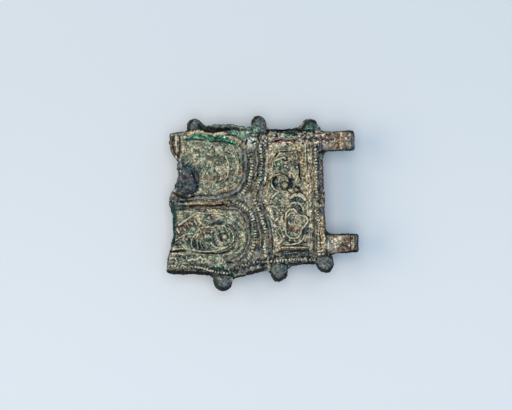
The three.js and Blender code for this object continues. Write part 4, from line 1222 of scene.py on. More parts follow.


# Where each deposit lies on the face, read from the photograph
# Some of these strokes are painted light, noted at each deposit: shade along edges, and highlights on the
# lobes, the lugs and an upper edge
PATINA_STROKES: dict[Deposit, tuple[Stroke, ...]] = {
    Deposit.SLATE: strokes_of(
        (0.9, 1.6, 113, 503, 136, 476, 162, 462, 188, 422, 203, 353), (0.9, 1.6, 95, 455, 104, 392, 96, 331),
        (0.9, 1.4, 213, 346, 214, 259, 202, 167, 171, 108), (0.8, 1.2, 80, 239, 89, 176),
        (0.7, 1.4, 47, 99, 93, 89, 143, 85), (0.5, 1.0, 459, 692, 482, 659),
        (0.6, 0.9, 500, 596, 514, 483, 515, 359), (0.5, 0.7, 251, 554, 292, 563),
        (0.8, 1.0, 283, -223, 315, -216, 361, -213), (0.5, 1.2, 170, -432, 176, -471),
        (0.5, 1.6, 225, -475, 245, -503, 280, -518), (0.5, 1.2, 125, -402, 141, -455),
        (0.6, 1.4, 423, -257, 449, -324, 458, -390), (0.6, 0.9, 89, -587, 117, -596),
        (0.6, 1.0, 164, -672, 223, -683), (0.8, 1.0, 159, -749, 211, -760, 260, -783),
        (0.6, 1.4, 374, -676, 399, -671), (0.8, 1.6, 63, -53, 54, -149, 58, -267, 53, -344, 61, -423),
        (0.6, 0.9, 643, 689, 652, 590, 652, 467), (0.6, 0.9, 627, 417, 631, 300),
        (0.8, 1.1, 794, 254, 796, 169), (0.9, 1.2, 814, 25, 839, 43, 862, 15),
        (0.6, 1.2, 552, 806, 550, 729, 582, 746), (0.7, 1.2, 644, 721, 697, 723, 739, 746),
        (0.6, 1.0, 975, 467, 975, 337, 976, 207), (0.6, 0.7, 917, 536, 918, 445, 926, 341),
        (0.5, 1.2, 711, 436, 731, 383), (0.9, 1.3, 812, 23, 845, 33, 872, 1),
        (0.8, 1.2, 806, -75, 834, -60, 851, -109), (0.8, 1.0, 756, -590, 821, -586, 895, -609),
        (0.6, 1.0, 786, -506, 842, -502, 870, -479), (0.6, 0.8, 732, -459, 760, -436),
        (0.6, 0.7, 927, -12, 928, -184), (0.6, 0.8, 993, 17, 993, -146, 995, -275),
        (0.5, 0.8, 614, -158, 635, -263, 642, -349), (0.4, 1.2, 582, -139, 592, -294),
        (0.5, 1.4, 509, -707, 563, -737, 624, -724), (0.5, 0.8, 780, -197, 783, -258),
        (0.8, 2.2, 183, 940, 207, 923), (0.7, 2.2, 517, 943, 556, 910),
        (0.7, 1.6, 239, 891, 360, 866, 482, 856), (0.6, 1.0, 635, 783, 725, 799, 838, 782),
        (0.8, 2.4, 359, -912, 390, -989), (0.8, 2.0, 728, -776, 751, -823),
        (0.8, 1.8, 1021, -754, 1053, -772), (0.5, 0.7, 363, 34, 415, 16),
        (0.7, 1.3, 197, -473, 224, -501, 266, -504), (0.6, 1.2, 170, -412, 173, -464),
        (0.6, 1.0, 340, -341, 346, -407), (0.5, 1.2, 313, -287, 341, -296), (0.5, 1.0, 109, -323, 87, -360),
        (0.7, 1.2, 707, 274, 696, 223, 705, 164), (0.6, 1.0, 823, 414, 836, 374),
        (0.6, 1.2, 779, -240, 802, -216), (0.7, 1.0, 864, -350, 892, -326), (0.6, 1.0, 689, -319, 706, -371),
        (0.7, 1.4, 1207, 737, 1204, 617), (0.95, 1.7, 56, -24, 57, -161, 45, -312, 46, -442),
        (0.9, 1.6, 416, -784, 491, -745, 591, -692), (0.8, 1.2, 761, -743, 846, -721, 931, -722),
        (0.95, 1.4, 735, -615, 807, -605, 891, -604), (0.9, 1.2, 259, 909, 366, 911, 489, 895, 562, 870),
        (0.9, 0.8, 1195, 759, 1193, 571), (0.9, 0.7, 1197, -418, 1197, -590),
        (0.8, 1.5, 49, 53, 98, 34, 131, 16), (0.6, 1.2, 556, 634, 562, 527),
        (0.8, 1.2, 814, 62, 840, 84, 864, 43), (0.6, 1.0, 635, 718, 636, 374, 620, 62),
        (0.8, 1.2, 142, -396, 169, -475, 233, -510), (0.8, 1.0, 87, -445, 104, -424),
        (0.7, 0.9, 295, -333, 302, -409, 317, -456), (0.7, 1.0, 429, -222, 460, -300, 459, -376),
        (0.6, 0.8, 75, -239, 81, -331), (0.6, 0.8, 306, -204, 340, -191),
        (0.6, 0.7, 602, 6, 632, -138, 649, -295, 652, -452, 648, -593),
        (0.7, 0.7, 650, 686, 641, 530, 639, 343, 629, 156, 619, -31),
    ),
    Deposit.BROWN: strokes_of(
        (0.8, 1.8, 76, 791, 78, 704, 89, 629), (0.6, 1.3, 110, 795, 121, 701, 105, 603),
        (0.5, 1.0, 124, 564, 148, 575, 172, 597), (0.5, 1.4, 286, 303, 333, 305, 366, 284),
        (0.45, 1.1, 427, 316, 415, 243), (0.8, 0.8, 61, 154, 90, 114, 114, 118),
        (0.8, 1.8, 97, -263, 125, -240, 154, -216, 175, -198), (0.6, 1.4, 232, -333, 246, -308),
        (0.6, 1.0, 133, -39, 151, -53), (0.6, 0.9, 319, -41, 361, -38, 396, -41),
        (0.6, 0.8, 385, -533, 421, -504), (0.6, 0.9, 16, -724, 64, -741, 141, -748),
        (0.5, 1.8, 1019, 691, 1068, 693), (0.6, 1.2, 996, 764, 1055, 740), (0.5, 0.9, 648, 428, 661, 401),
        (0.45, 0.8, 782, -300, 800, -328, 822, -338), (0.4, 0.9, 729, -168, 738, -203),
        (0.5, 0.6, 873, 26, 881, -17), (0.3, 1.0, 1100, -506, 1137, -526),
        (0.8, 1.2, 773, -300, 790, -327, 827, -347), (0.7, 1.0, 655, -384, 657, -504),
        (0.7, 0.9, 964, -409, 965, -564), (0.6, 1.6, 1046, -450, 1110, -473, 1185, -461),
        (0.6, 1.4, 1075, -590, 1145, -561, 1187, -547), (0.6, 2.4, 1007, 715, 1194, 700),
        (0.4, 1.6, 1082, -609, 1163, -600), (0.6, 2.4, 539, 188, 582, 102), (0.5, 1.6, 548, -490, 583, -372),
        (0.9, 1.0, 286, 17, 328, 16, 397, -5), (0.6, 1.4, 213, -370, 229, -306, 257, -283),
        (0.5, 1.2, 93, -101, 125, -97), (0.6, 0.9, 812, 545, 832, 517), (0.5, 0.9, 682, 257, 685, 204),
        (0.7, 1.0, 830, 699, 879, 702), (0.7, 2.2, 1072, 710, 1129, 698), (0.5, 2.0, 1084, -518, 1158, -479),
        (0.6, 2.4, 1083, 729, 1089, 619), (0.8, 1.2, 1155, 754, 1151, 567),
        (0.7, 1.4, 1113, -489, 1146, -539), (0.5, 0.6, 1001, -246, 997, -402),
        (0.6, 0.7, 147, -8, 245, -16, 344, -20), (0.7, 1.0, 750, 224, 774, 144),
        (0.7, 1.2, 213, -311, 239, -282, 280, -286), (0.6, 1.0, 456, -498, 422, -541),
        (0.8, 0.8, 96, -42, 138, -38, 220, -29), (0.6, 1.0, 457, -87, 489, -150),
        (0.5, 1.0, 294, 335, 360, 315, 426, 355), (0.5, 0.9, 316, 562, 381, 511),
        (0.6, 0.9, 993, 486, 992, 267, 989, -30), (0.7, 0.9, 995, 36, 993, -245, 988, -448),
        (0.35, 1.4, 428, -267, 458, -391, 447, -497), (0.4, 1.0, 146, -46, 186, -95),
        (0.45, 1.6, 335, 302, 408, 265, 443, 354),
    ),
    # The upright strokes past 1100 along lie on the lugs' barrels and are painted highlights
    Deposit.TAN: strokes_of(
        (0.8, 0.7, 408, 795, 437, 750, 476, 709, 509, 669), (0.7, 0.9, 349, 161, 383, 174, 414, 200),
        (0.5, 0.6, 151, 499, 177, 532, 212, 569), (0.6, 0.7, 279, 359, 281, 378),
        (0.4, 0.8, 195, 137, 215, 154, 255, 149), (0.8, 1.2, 95, -465, 105, -485),
        (0.6, 0.9, 46, -493, 81, -489), (0.7, 0.6, 30, -547, 69, -547, 121, -558),
        (0.6, 0.7, 251, -250, 297, -260, 342, -251), (0.6, 0.9, 236, -281, 250, -321),
        (0.7, 0.7, 261, -367, 273, -368), (0.6, 0.7, 368, -373, 368, -376), (0.6, 0.7, 42, -636, 52, -649),
        (0.9, 0.8, 149, 25, 170, 26, 209, 27, 258, 23, 275, 21), (0.7, 1.0, 758, 198, 761, 172),
        (0.8, 1.4, 681, 659, 684, 568, 681, 478, 675, 387),
        (0.7, 1.2, 662, 284, 646, 195, 630, 105, 621, 28), (0.7, 1.4, 863, 632, 875, 566, 874, 501),
        (0.7, 1.3, 877, 462, 884, 344, 882, 240, 893, 116, 894, 6), (0.7, 0.9, 670, 758, 690, 750, 707, 722),
        (0.6, 0.7, 940, 496, 942, 405, 950, 326, 955, 222, 952, 92),
        (0.6, 0.9, 751, 654, 779, 658, 842, 653), (0.5, 0.9, 999, 757, 1034, 767),
        (0.8, 1.2, 629, 80, 645, -32, 661, -136), (0.8, 1.4, 695, -439, 703, -500, 683, -575),
        (0.7, 0.8, 758, -528, 822, -533, 888, -545), (0.7, 1.0, 910, 57, 910, -54, 903, -165),
        (0.6, 0.9, 899, -438, 900, -575), (0.8, 1.0, 964, -212, 970, -341, 967, -478, 969, -581),
        (0.7, 0.8, 983, -394, 985, -497, 978, -616), (0.5, 0.8, 890, -223, 907, -285),
        (0.6, 1.1, 544, -564, 557, -633), (0.6, 0.7, 618, -381, 621, -467),
        (0.4, 1.2, 1145, -561, 1163, -580), (0.5, 1.4, 530, -541, 565, -446), (0.45, 1.0, 507, 25, 538, 113),
        (0.6, 0.8, 434, -857, 440, -918), (0.6, 1.0, 809, 701, 864, 684), (0.9, 0.6, 402, -867, 396, -935),
        (0.6, 0.5, 748, -804, 747, -866), (0.4, 0.6, 1024, -717, 1038, -765),
        (0.6, 0.7, 1122, 757, 1121, 569), (0.3, 0.8, 1165, -462, 1167, -541),
        (0.9, 1.2, 968, -212, 972, -400, 972, -587), (0.95, 1.1, 143, 22, 221, 27, 336, 11),
        (0.9, 0.8, 171, 833, 241, 850, 322, 813, 388, 823), (0.9, 0.7, 420, 782, 484, 716, 516, 660),
        (0.8, 1.2, 666, 591, 663, 481, 657, 372), (0.8, 1.2, 919, 570, 910, 352, 908, 102),
        (0.7, 0.9, 677, 691, 795, 674, 921, 656, 980, 667), (0.5, 0.8, 923, 585, 936, 381, 942, 99),
        (0.4, 0.7, 941, 72, 939, -241, 935, -553), (0.45, 1.8, 210, -112, 245, -184, 215, -258),
        (0.4, 1.4, 242, -313, 253, -398), (0.35, 1.0, 461, -605, 419, -678), (0.35, 0.6, 358, 932, 423, 922),
        (0.5, 0.5, 671, 817, 756, 815, 840, 808), (0.3, 0.6, 765, -602, 832, -600, 891, -612),
        (0.4, 1.2, 245, -39, 326, -76, 398, -143), (0.4, 0.8, 364, 147, 439, 186, 474, 260),
    ),
    # The upright strokes past 1100 along lie on the lugs' barrels and are painted highlights; the rest is
    # sandy deposit
    Deposit.SAND: strokes_of(
        (0.8, 1.4, 1004, -498, 1021, -551, 1044, -536), (0.6, 1.1, 1054, -528, 1101, -489),
        (0.4, 0.9, 991, -463, 996, -412), (0.3, 0.9, 1166, -477, 1169, -546),
        (0.4, 1.0, 1162, 718, 1158, 628), (0.35, 1.0, 1151, -471, 1140, -545),
        (0.3, 0.8, 1055, 674, 1096, 678), (0.5, 0.7, 1150, 727, 1152, 636), (0.4, 0.8, 1039, 683, 1079, 672),
        (0.5, 0.5, 1176, 753, 1174, 581), (0.6, 0.6, 1006, 673, 1021, 609),
        (0.9, 1.5, 1007, -536, 1054, -500, 1089, -456), (0.7, 0.8, 1027, -561, 1061, -548),
        (0.5, 0.5, 919, 555, 926, 444), (0.5, 0.8, 671, 622, 663, 481, 648, 342, 631, 187, 619, 31),
        (0.5, 0.8, 621, 98, 655, -61, 684, -267, 708, -425, 690, -549),
        (0.4, 0.7, 911, 75, 911, -113, 906, -394, 898, -582), (0.4, 0.6, 915, 571, 914, 352, 906, 102),
        (0.7, 0.8, 704, 775, 754, 756), (0.6, 0.7, 830, 734, 881, 745), (0.5, 0.7, 602, -691, 636, -685),
    ),
    Deposit.MINT: strokes_of(
        (0.25, 1.3, 381, -98, 422, -127, 453, -175, 476, -248),
        (0.3, 1.4, 479, -275, 494, -367, 488, -457, 465, -546, 428, -621),
        (0.35, 1.0, 348, -589, 383, -605, 408, -587), (0.5, 0.8, 151, -60, 179, -42),
        (0.5, 0.6, 509, -303, 518, -395), (0.6, 1.2, 573, 811, 597, 796), (0.5, 1.0, 679, 101, 723, 65),
        (0.5, 1.3, 673, 8, 707, 40, 735, 55), (0.5, 1.2, 552, -256, 553, -376),
        (0.4, 1.0, 704, -440, 718, -458), (0.5, 1.2, 781, 742, 845, 744), (0.2, 1.6, 1103, -567, 1145, -586),
        # Painted highlight along the upper edge between the first two upper lobes
        (0.8, 0.4, 267, 916, 366, 919, 456, 904, 537, 876),
    ),
    Deposit.MALACHITE: strokes_of(
        (0.9, 0.7, 153, 776, 183, 789, 210, 802, 251, 808, 274, 785, 297, 764),
        (1.0, 0.9, 300, 764, 327, 764, 360, 767, 387, 763), (0.8, 0.8, 397, 747, 423, 729, 466, 692),
        (0.8, 1.0, 428, 806, 452, 829, 472, 809), (0.85, 1.1, 494, 776, 528, 773, 552, 809),
        (0.5, 0.5, 231, 822, 245, 833), (0.35, 0.8, 50, -19, 51, -97, 60, -176),
        (0.6, 0.7, 295, -630, 301, -676), (0.7, 0.6, 311, -709, 331, -724), (0.7, 0.6, 396, -801, 413, -809),
        (0.5, 0.6, 439, -304, 452, -350), (0.4, 0.8, 250, -607, 264, -621), (0.4, 0.7, 163, -723, 177, -712),
        (0.8, 1.0, 790, 787, 817, 772, 838, 770), (0.7, 0.8, 775, 756, 788, 709),
        (0.6, 1.4, 910, 829, 938, 834, 962, 806), (0.8, 1.0, 541, 788, 563, 832, 588, 862),
        (0.6, 0.8, 690, 412, 718, 423, 738, 395), (0.5, 0.9, 603, 302, 609, 263),
        (0.5, 0.7, 706, 229, 720, 208), (0.5, 0.7, 893, 551, 894, 473), (0.4, 0.7, 758, 341, 772, 334),
        (0.6, 0.6, 771, -377, 798, -387), (0.6, 0.9, 768, -668, 754, -684), (0.4, 0.8, 715, -766, 698, -730),
        (0.4, 0.8, 550, -342, 553, -410), (0.6, 1.5, 909, 882, 941, 856), (0.9, 0.5, 909, 868, 926, 882),
        (0.9, 0.5, 942, 826, 959, 833), (0.6, 1.0, 454, 833, 520, 820, 535, 773),
        (0.7, 1.2, 561, 847, 603, 859), (0.9, 0.5, 343, -733, 384, -766), (0.9, 0.5, 111, 243, 135, 196),
        (0.7, 0.4, 162, 450, 186, 435), (0.5, 0.5, 921, 859, 943, 881), (0.4, 0.5, 950, 818, 938, 827),
    ),
    Deposit.CUPRITE: strokes_of(
        (0.3, 1.2, 299, 308, 339, 311), (0.7, 0.5, 163, 21, 166, 17), (0.8, 0.6, 284, -116, 296, -123),
        (0.35, 0.8, 451, -103, 472, -112), (0.35, 0.8, 266, -647, 269, -674), (0.5, 0.9, 738, 687, 766, 679),
        (0.8, 0.6, 902, 778, 919, 783), (0.6, 0.8, 893, 694, 906, 667), (0.6, 0.7, 873, 741, 883, 734),
        (0.6, 0.7, 973, 675, 994, 667), (0.5, 0.8, 792, 306, 816, 265), (0.7, 0.5, 578, 720, 584, 706),
        (0.7, 0.5, 987, 830, 990, 816), (0.3, 1.2, 999, 621, 1023, 593), (0.5, 0.7, 942, 697, 963, 708),
        (0.5, 0.9, 981, 706, 1005, 657), (0.6, 0.5, 803, 314, 819, 281), (0.9, 0.5, 744, 686, 765, 676),
    ),
    Deposit.SILVER: strokes_of(
        (0.8, 1.0, 533, 729, 553, 697), (0.6, 0.6, 417, 770, 391, 778), (0.7, 0.5, 144, -326, 169, -321),
        (0.9, 0.7, 341, -761, 366, -748), (0.5, 0.5, 294, -656, 297, -669), (0.6, 0.5, 422, -156, 438, -200),
        (0.9, 0.9, 542, 703, 559, 669), (0.7, 0.6, 713, 657, 723, 650), (0.7, 0.4, 739, -398, 742, -404),
        (0.7, 0.4, 870, -460, 871, -465), (0.5, 0.4, 568, -741, 578, -725),
        (0.9, 0.7, 537, 696, 558, 725, 583, 738), (0.8, 0.4, 359, -749, 384, -766),
        (0.9, 0.35, 114, 402, 117, 398), (0.9, 0.6, 706, 658, 722, 646), (0.7, 0.4, 136, -388, 142, -396),
        # The faint strokes on the next two lines lie on the lobes and are painted highlights
        (0.3, 0.8, 324, -853, 340, -877), (0.3, 0.8, 688, -791, 705, -808), (0.3, 0.6, 972, -752, 989, -761),
        (0.3, 0.45, 910, 899, 927, 911), (0.35, 0.45, 964, 887, 970, 863), (0.3, 0.6, 206, 959, 212, 936),
        (0.3, 0.5, 748, -577, 807, -590),
    ),
    Deposit.CREAM: strokes_of(
        (0.8, 0.45, 94, 827, 92, 716, 95, 647, 90, 554), (0.7, 0.5, 188, 829, 232, 853, 258, 845),
        (0.7, 0.5, 331, 805, 365, 821, 395, 809), (0.75, 0.45, 406, 430, 409, 367, 401, 312),
        (0.6, 0.4, 469, 449, 468, 350), (0.8, 0.4, 337, 435, 346, 428), (0.6, 0.4, 433, 595, 449, 550),
        (0.9, 0.4, 89, -217, 123, -178, 163, -132, 185, -103), (0.8, 0.4, 74, -258, 87, -301),
        (0.6, 0.4, 115, -245, 126, -279), (0.9, 0.4, 136, -370, 135, -387), (0.9, 0.4, 276, -148, 277, -149),
        (0.8, 0.4, 411, -162, 442, -210), (0.8, 0.4, 284, -441, 295, -474, 316, -497),
        (0.5, 0.35, 190, -336, 168, -373, 161, -418, 164, -470, 179, -504),
        (0.6, 0.35, 164, -512, 223, -535, 280, -538, 336, -523, 382, -494),
        (0.5, 0.35, 320, -372, 326, -412, 343, -439, 373, -448, 392, -430),
        (0.9, 0.5, 137, -630, 158, -616, 179, -627, 197, -616, 215, -594, 229, -618, 222, -653),
        (0.8, 0.4, 205, -720, 240, -737, 285, -769), (0.8, 0.4, 53, -682, 54, -683),
        (0.8, 0.4, 95, -689, 120, -702), (0.7, 0.5, 255, -367, 266, -368), (0.6, 0.5, 368, -370, 368, -376),
        (0.9, 0.4, 712, 480, 734, 499, 762, 510), (0.9, 0.4, 835, 566, 836, 564),
        (0.8, 0.4, 780, 395, 781, 393), (0.9, 0.5, 793, 339, 807, 318, 818, 291),
        (0.95, 0.5, 676, 52, 696, 90, 712, 105), (0.95, 0.5, 800, 42, 815, 72, 841, 79, 867, 60, 884, 13),
        (0.7, 0.5, 798, 127, 799, 124), (0.7, 0.5, 832, 134, 833, 133),
        (0.7, 0.4, 701, 307, 681, 257, 677, 198, 690, 152), (0.6, 0.6, 537, 635, 559, 669),
        (0.8, 0.5, 702, 651, 723, 656), (0.95, 0.5, 790, 42, 809, 59, 834, 65, 864, 48, 881, 7),
        (0.9, 0.45, 793, -27, 825, -13, 853, -41, 865, -84, 868, -121),
        (0.8, 0.45, 752, -187, 762, -127, 782, -97, 810, -93, 827, -134),
        (0.75, 0.4, 750, -255, 750, -324, 756, -384, 775, -421, 802, -433, 826, -420, 845, -374),
        (0.75, 0.4, 849, -332, 870, -295, 890, -245, 887, -198, 863, -170, 826, -167),
        (0.7, 0.4, 745, -503, 786, -502, 824, -488, 853, -452, 868, -403), (0.9, 0.45, 794, -674, 794, -682),
        (0.7, 0.45, 706, -191, 691, -216), (0.7, 0.45, 647, -144, 668, -240, 671, -334),
        (0.9, 0.4, 980, -626, 980, -633), (0.6, 0.4, 726, -527, 776, -529, 888, -545),
        (0.7, 0.5, 174, 26, 209, 30, 237, 26), (0.8, 0.4, 860, 710, 868, 703),
        (0.8, 0.4, 750, 758, 755, 754), (0.7, 0.4, 880, 754, 887, 740), (0.7, 0.4, 918, 744, 925, 731),
        (0.7, 0.4, 838, 777, 846, 783), (0.6, 0.4, 710, 658, 760, 642), (0.6, 0.4, 837, 686, 862, 669),
        (0.4, 0.5, 678, 746, 694, 714), (0.35, 0.4, 636, 742, 662, 763),
    ),
    # The black arcs round the lobes and the black lines along the lugs' and the plate's edges are painted
    # shade; the dots and short lines are dark pits and corrosion
    Deposit.DARK: strokes_of(
        (0.85, 0.6, 275, 856, 312, 840, 335, 839, 379, 852, 429, 862), (0.7, 0.7, 72, 754, 75, 798),
        (0.6, 0.6, 89, 604, 101, 578), (0.7, 1.0, 110, 112, 143, 85, 71, 147), (0.6, 0.35, 318, 666),
        (0.9, 0.3, 318, 666, 318, 665), (0.9, 0.3, 331, 647, 331, 646), (0.9, 0.3, 391, 654, 392, 653),
        (0.8, 0.3, 373, 680, 374, 680), (0.9, 0.3, 349, 566, 349, 566), (0.8, 0.3, 330, 614, 330, 614),
        (0.6, 0.7, 223, -550, 279, -561, 331, -568, 391, -547), (0.7, 0.7, 27, -521, 77, -518, 115, -515),
        (0.6, 0.7, 293, -727, 310, -748), (0.8, 0.9, 8, -769, 98, -783, 189, -787, 252, -809),
        (0.5, 0.6, 159, -5, 222, 0, 292, -13, 362, -9), (0.5, 1.0, 70, -40, 116, -37),
        (0.7, 0.5, 706, 524, 721, 559), (0.8, 0.4, 751, 485, 765, 479),
        (0.7, 0.5, 849, 419, 856, 347, 851, 282, 861, 249), (0.6, 0.8, 831, 167, 851, 126, 864, 99),
        (0.6, 0.7, 714, 261, 701, 294), (0.7, 0.8, 664, 830, 741, 824, 811, 824, 875, 826),
        (0.8, 0.7, 984, 544, 1016, 561, 1072, 556), (0.6, 0.7, 734, 798, 758, 803),
        (0.7, 0.5, 898, -186, 897, -198), (0.7, 0.5, 884, -367, 884, -376),
        (0.6, 0.6, 731, -510, 795, -516, 851, -520), (0.7, 0.8, 772, -719, 827, -732, 910, -722),
        (0.8, 0.9, 1006, -396, 1103, -399, 1195, -402), (0.8, 0.8, 1041, -655, 1098, -626, 1190, -608),
        (0.8, 0.7, 1204, -429, 1202, -600), (0.9, 1.0, 666, -891, 693, -918, 731, -904),
        (0.9, 0.9, 941, -810, 982, -835, 1024, -825), (0.6, 0.8, 751, -837, 757, -769),
        (0.7, 0.7, 1040, -707, 1043, -775), (0.7, 0.9, 497, -808, 548, -787, 618, -758),
        (0.6, 0.8, 1215, 751, 1212, 601), (0.8, 0.7, 152, 1003, 169, 1032, 194, 1037),
        (0.8, 0.8, 517, 973, 534, 1010, 559, 1008), (0.7, 0.5, 239, 909, 361, 881, 474, 872),
        (0.9, 0.9, 317, -953, 341, -1008, 389, -1019, 438, -993), (0.6, 0.5, 170, -425, 172, -471),
        (0.6, 0.4, 191, -420, 190, -485), (0.6, 0.4, 212, -435, 214, -487),
        (0.3, 0.4, 355, -323, 340, -354, 339, -400, 356, -427), (0.5, 0.5, 294, -377, 299, -436, 316, -476),
        (0.6, 0.5, 402, -236, 432, -297, 445, -376), (0.5, 0.5, 438, -206, 461, -273),
        (0.7, 0.6, 700, 281, 689, 237, 691, 191), (0.6, 0.5, 733, 337, 771, 301, 788, 268),
        (0.6, 0.4, 826, 531, 832, 504), (0.6, 0.4, 719, 475, 704, 437), (0.6, 0.4, 761, 315, 778, 301),
        (0.6, 0.4, 825, 219, 817, 181), (0.6, 0.5, 749, -135, 742, -212), (0.6, 0.5, 832, -125, 859, -152),
        (0.6, 0.5, 765, -213, 764, -282), (0.6, 0.5, 859, -367, 853, -426), (0.7, 0.5, 759, -461, 796, -473),
        (0.7, 0.5, 724, 701, 753, 719), (0.7, 0.5, 826, 706, 833, 693), (0.7, 0.5, 855, 736),
        (0.7, 0.4, 891, 779, 905, 765), (0.7, 0.4, 931, 704, 938, 678), (0.8, 0.7, 57, -313, 50, -435),
        (1.0, 0.85, 2, -754, 120, -769, 268, -797),
        (1.0, 1.0, 295, -899, 313, -959, 354, -983, 389, -968, 403, -935), (0.5, 0.8, 296, -820, 290, -881),
        (0.9, 0.6, 414, -860, 481, -835, 588, -798),
        (1.0, 1.0, 643, -814, 662, -875, 698, -905, 733, -881, 747, -838),
        (1.0, 1.0, 936, -764, 956, -808, 987, -828, 1020, -813, 1036, -777),
        (0.8, 0.6, 756, -789, 829, -756, 930, -748), (0.6, 0.6, 680, -595, 723, -560, 892, -581),
        (0.95, 0.9, 172, 878, 180, 946, 196, 977), (0.6, 0.6, 243, 934, 250, 872),
        (0.9, 0.9, 575, 930, 584, 973, 608, 992), (0.9, 0.8, 886, 839, 908, 892, 936, 918, 963, 892),
        (0.6, 0.6, 258, 871, 340, 865, 438, 864, 553, 840),
        (0.9, 0.5, 994, 552, 1054, 556, 1121, 557, 1185, 564), (0.7, 0.5, 1000, 795, 1093, 794, 1194, 770),
        (0.6, 0.6, 1096, -519, 1145, -570), (0.9, 0.6, 1025, -670, 1093, -629, 1178, -612),
        (0.7, 0.5, 1023, -391, 1107, -392, 1191, -402), (0.9, 0.5, 525, 682, 534, 727),
        (0.9, 0.4, 566, 694, 591, 707), (0.9, 0.5, 601, 768, 611, 706),
        (0.8, 0.6, 688, 276, 683, 214, 699, 181), (0.6, 0.5, 803, 314, 805, 204),
        (0.6, 0.6, 62, -451, 87, -445), (0.7, 0.5, 180, -399, 183, -476), (0.7, 0.4, 202, -432, 209, -490),
        (0.7, 0.4, 225, -449, 234, -492), (0.35, 0.4, 332, -351, 335, -397, 351, -421, 380, -416),
        (0.7, 0.5, 130, -365, 142, -389), (0.5, 0.4, 455, -178, 494, -273, 512, -381, 505, -487, 479, -561),
        (0.85, 0.75, 639, -830, 673, -901, 715, -911, 749, -848),
        (0.85, 0.7, 939, -798, 970, -838, 1012, -838, 1037, -793),
        (0.85, 0.8, 291, -923, 321, -981, 366, -996, 400, -960),
    ),
    Deposit.TEAL: strokes_of(
        (0.8, 1.5, 54, -31, 61, -100, 53, -222, 45, -358), (0.45, 2.2, 918, 883, 951, 849),
        (0.55, 0.9, 49, 22, 89, 1, 138, -11), (0.6, 0.8, 96, -42, 138, -30),
        (0.7, 0.7, 310, -730, 343, -755, 383, -781), (0.8, 0.5, 156, 758, 206, 766, 263, 749),
        (0.8, 0.5, 304, 731, 386, 724, 451, 688), (0.7, 0.5, 404, 799, 453, 787),
        (0.5, 1.2, 111, 213, 145, 256), (0.8, 0.8, 776, 785, 814, 790, 839, 772),
        (0.7, 0.5, 905, 712, 939, 694), (0.6, 0.6, 603, 799, 638, 812),
    ),
}

PATINA_SPECKS: dict[Deposit, tuple[Specks, ...]] = {
    Deposit.SLATE: (
        Specks(0.6, 0.7, 90, seed=11), Specks(0.8, 0.6, 30, (0.28, -0.78), (0.28, 0.06), 12)),
    Deposit.BROWN: (
        Specks(0.6, 0.6, 90, seed=13), Specks(0.7, 0.6, 34, (0.54, 0.05), (0.1, 0.5), 14)),
    Deposit.TAN: (
        Specks(0.5, 0.6, 60, seed=15), Specks(0.5, 0.5, 34, (0.54, 0.05), (0.1, 0.5), 16)),
    Deposit.SAND: (
        Specks(0.6, 0.4, 16, (0.9, 0.78), (0.12, 0.14), 17),
        Specks(0.8, 0.34, 46, (0.72, 0.85), (0.24, 0.06), 34)),
    Deposit.MINT: (Specks(0.5, 0.8, 40, seed=18),),
    Deposit.MALACHITE: (
        Specks(0.7, 0.3, 26, seed=19), Specks(0.8, 0.4, 16, (0.7, 0.88), (0.16, 0.06), 20)),
    Deposit.CUPRITE: (
        Specks(0.9, 0.46, 62, (0.84, 0.78), (0.2, 0.13), 21), Specks(0.5, 0.4, 14, seed=22)),
    Deposit.SILVER: (
        Specks(0.9, 0.4, 18, (0.64, 0.76), (0.1, 0.08), 23),
        Specks(0.9, 0.34, 34, (0.84, 0.78), (0.2, 0.13), 35)),
    Deposit.CREAM: (
        Specks(0.7, 0.22, 240, seed=24), Specks(0.9, 0.28, 70, (0.78, 0.8), (0.22, 0.15), 25),
        Specks(0.8, 0.26, 60, (0.8, -0.1), (0.13, 0.66), 26)),
    Deposit.DARK: (
        Specks(0.8, 0.24, 300, seed=27), Specks(0.95, 0.3, 90, (0.78, 0.8), (0.22, 0.15), 28),
        Specks(0.8, 0.28, 60, (0.8, -0.1), (0.13, 0.66), 29),
        Specks(0.9, 0.34, 60, (0.28, -0.78), (0.28, 0.06), 30),
        Specks(0.9, 0.4, 44, (0.78, -0.69), (0.24, 0.06), 31)),
    Deposit.TEAL: (Specks(0.7, 0.3, 40, seed=32), Specks(0.8, 0.3, 24, (0.78, 0.8), (0.22, 0.15), 33)),
}

# Raised lines in the patina: the height of one that is rubbed fully, and their widths
RUBBED_HEIGHT = 0.3
RUBBED_PART = 0.85
LEAST_RUBBED = 0.19


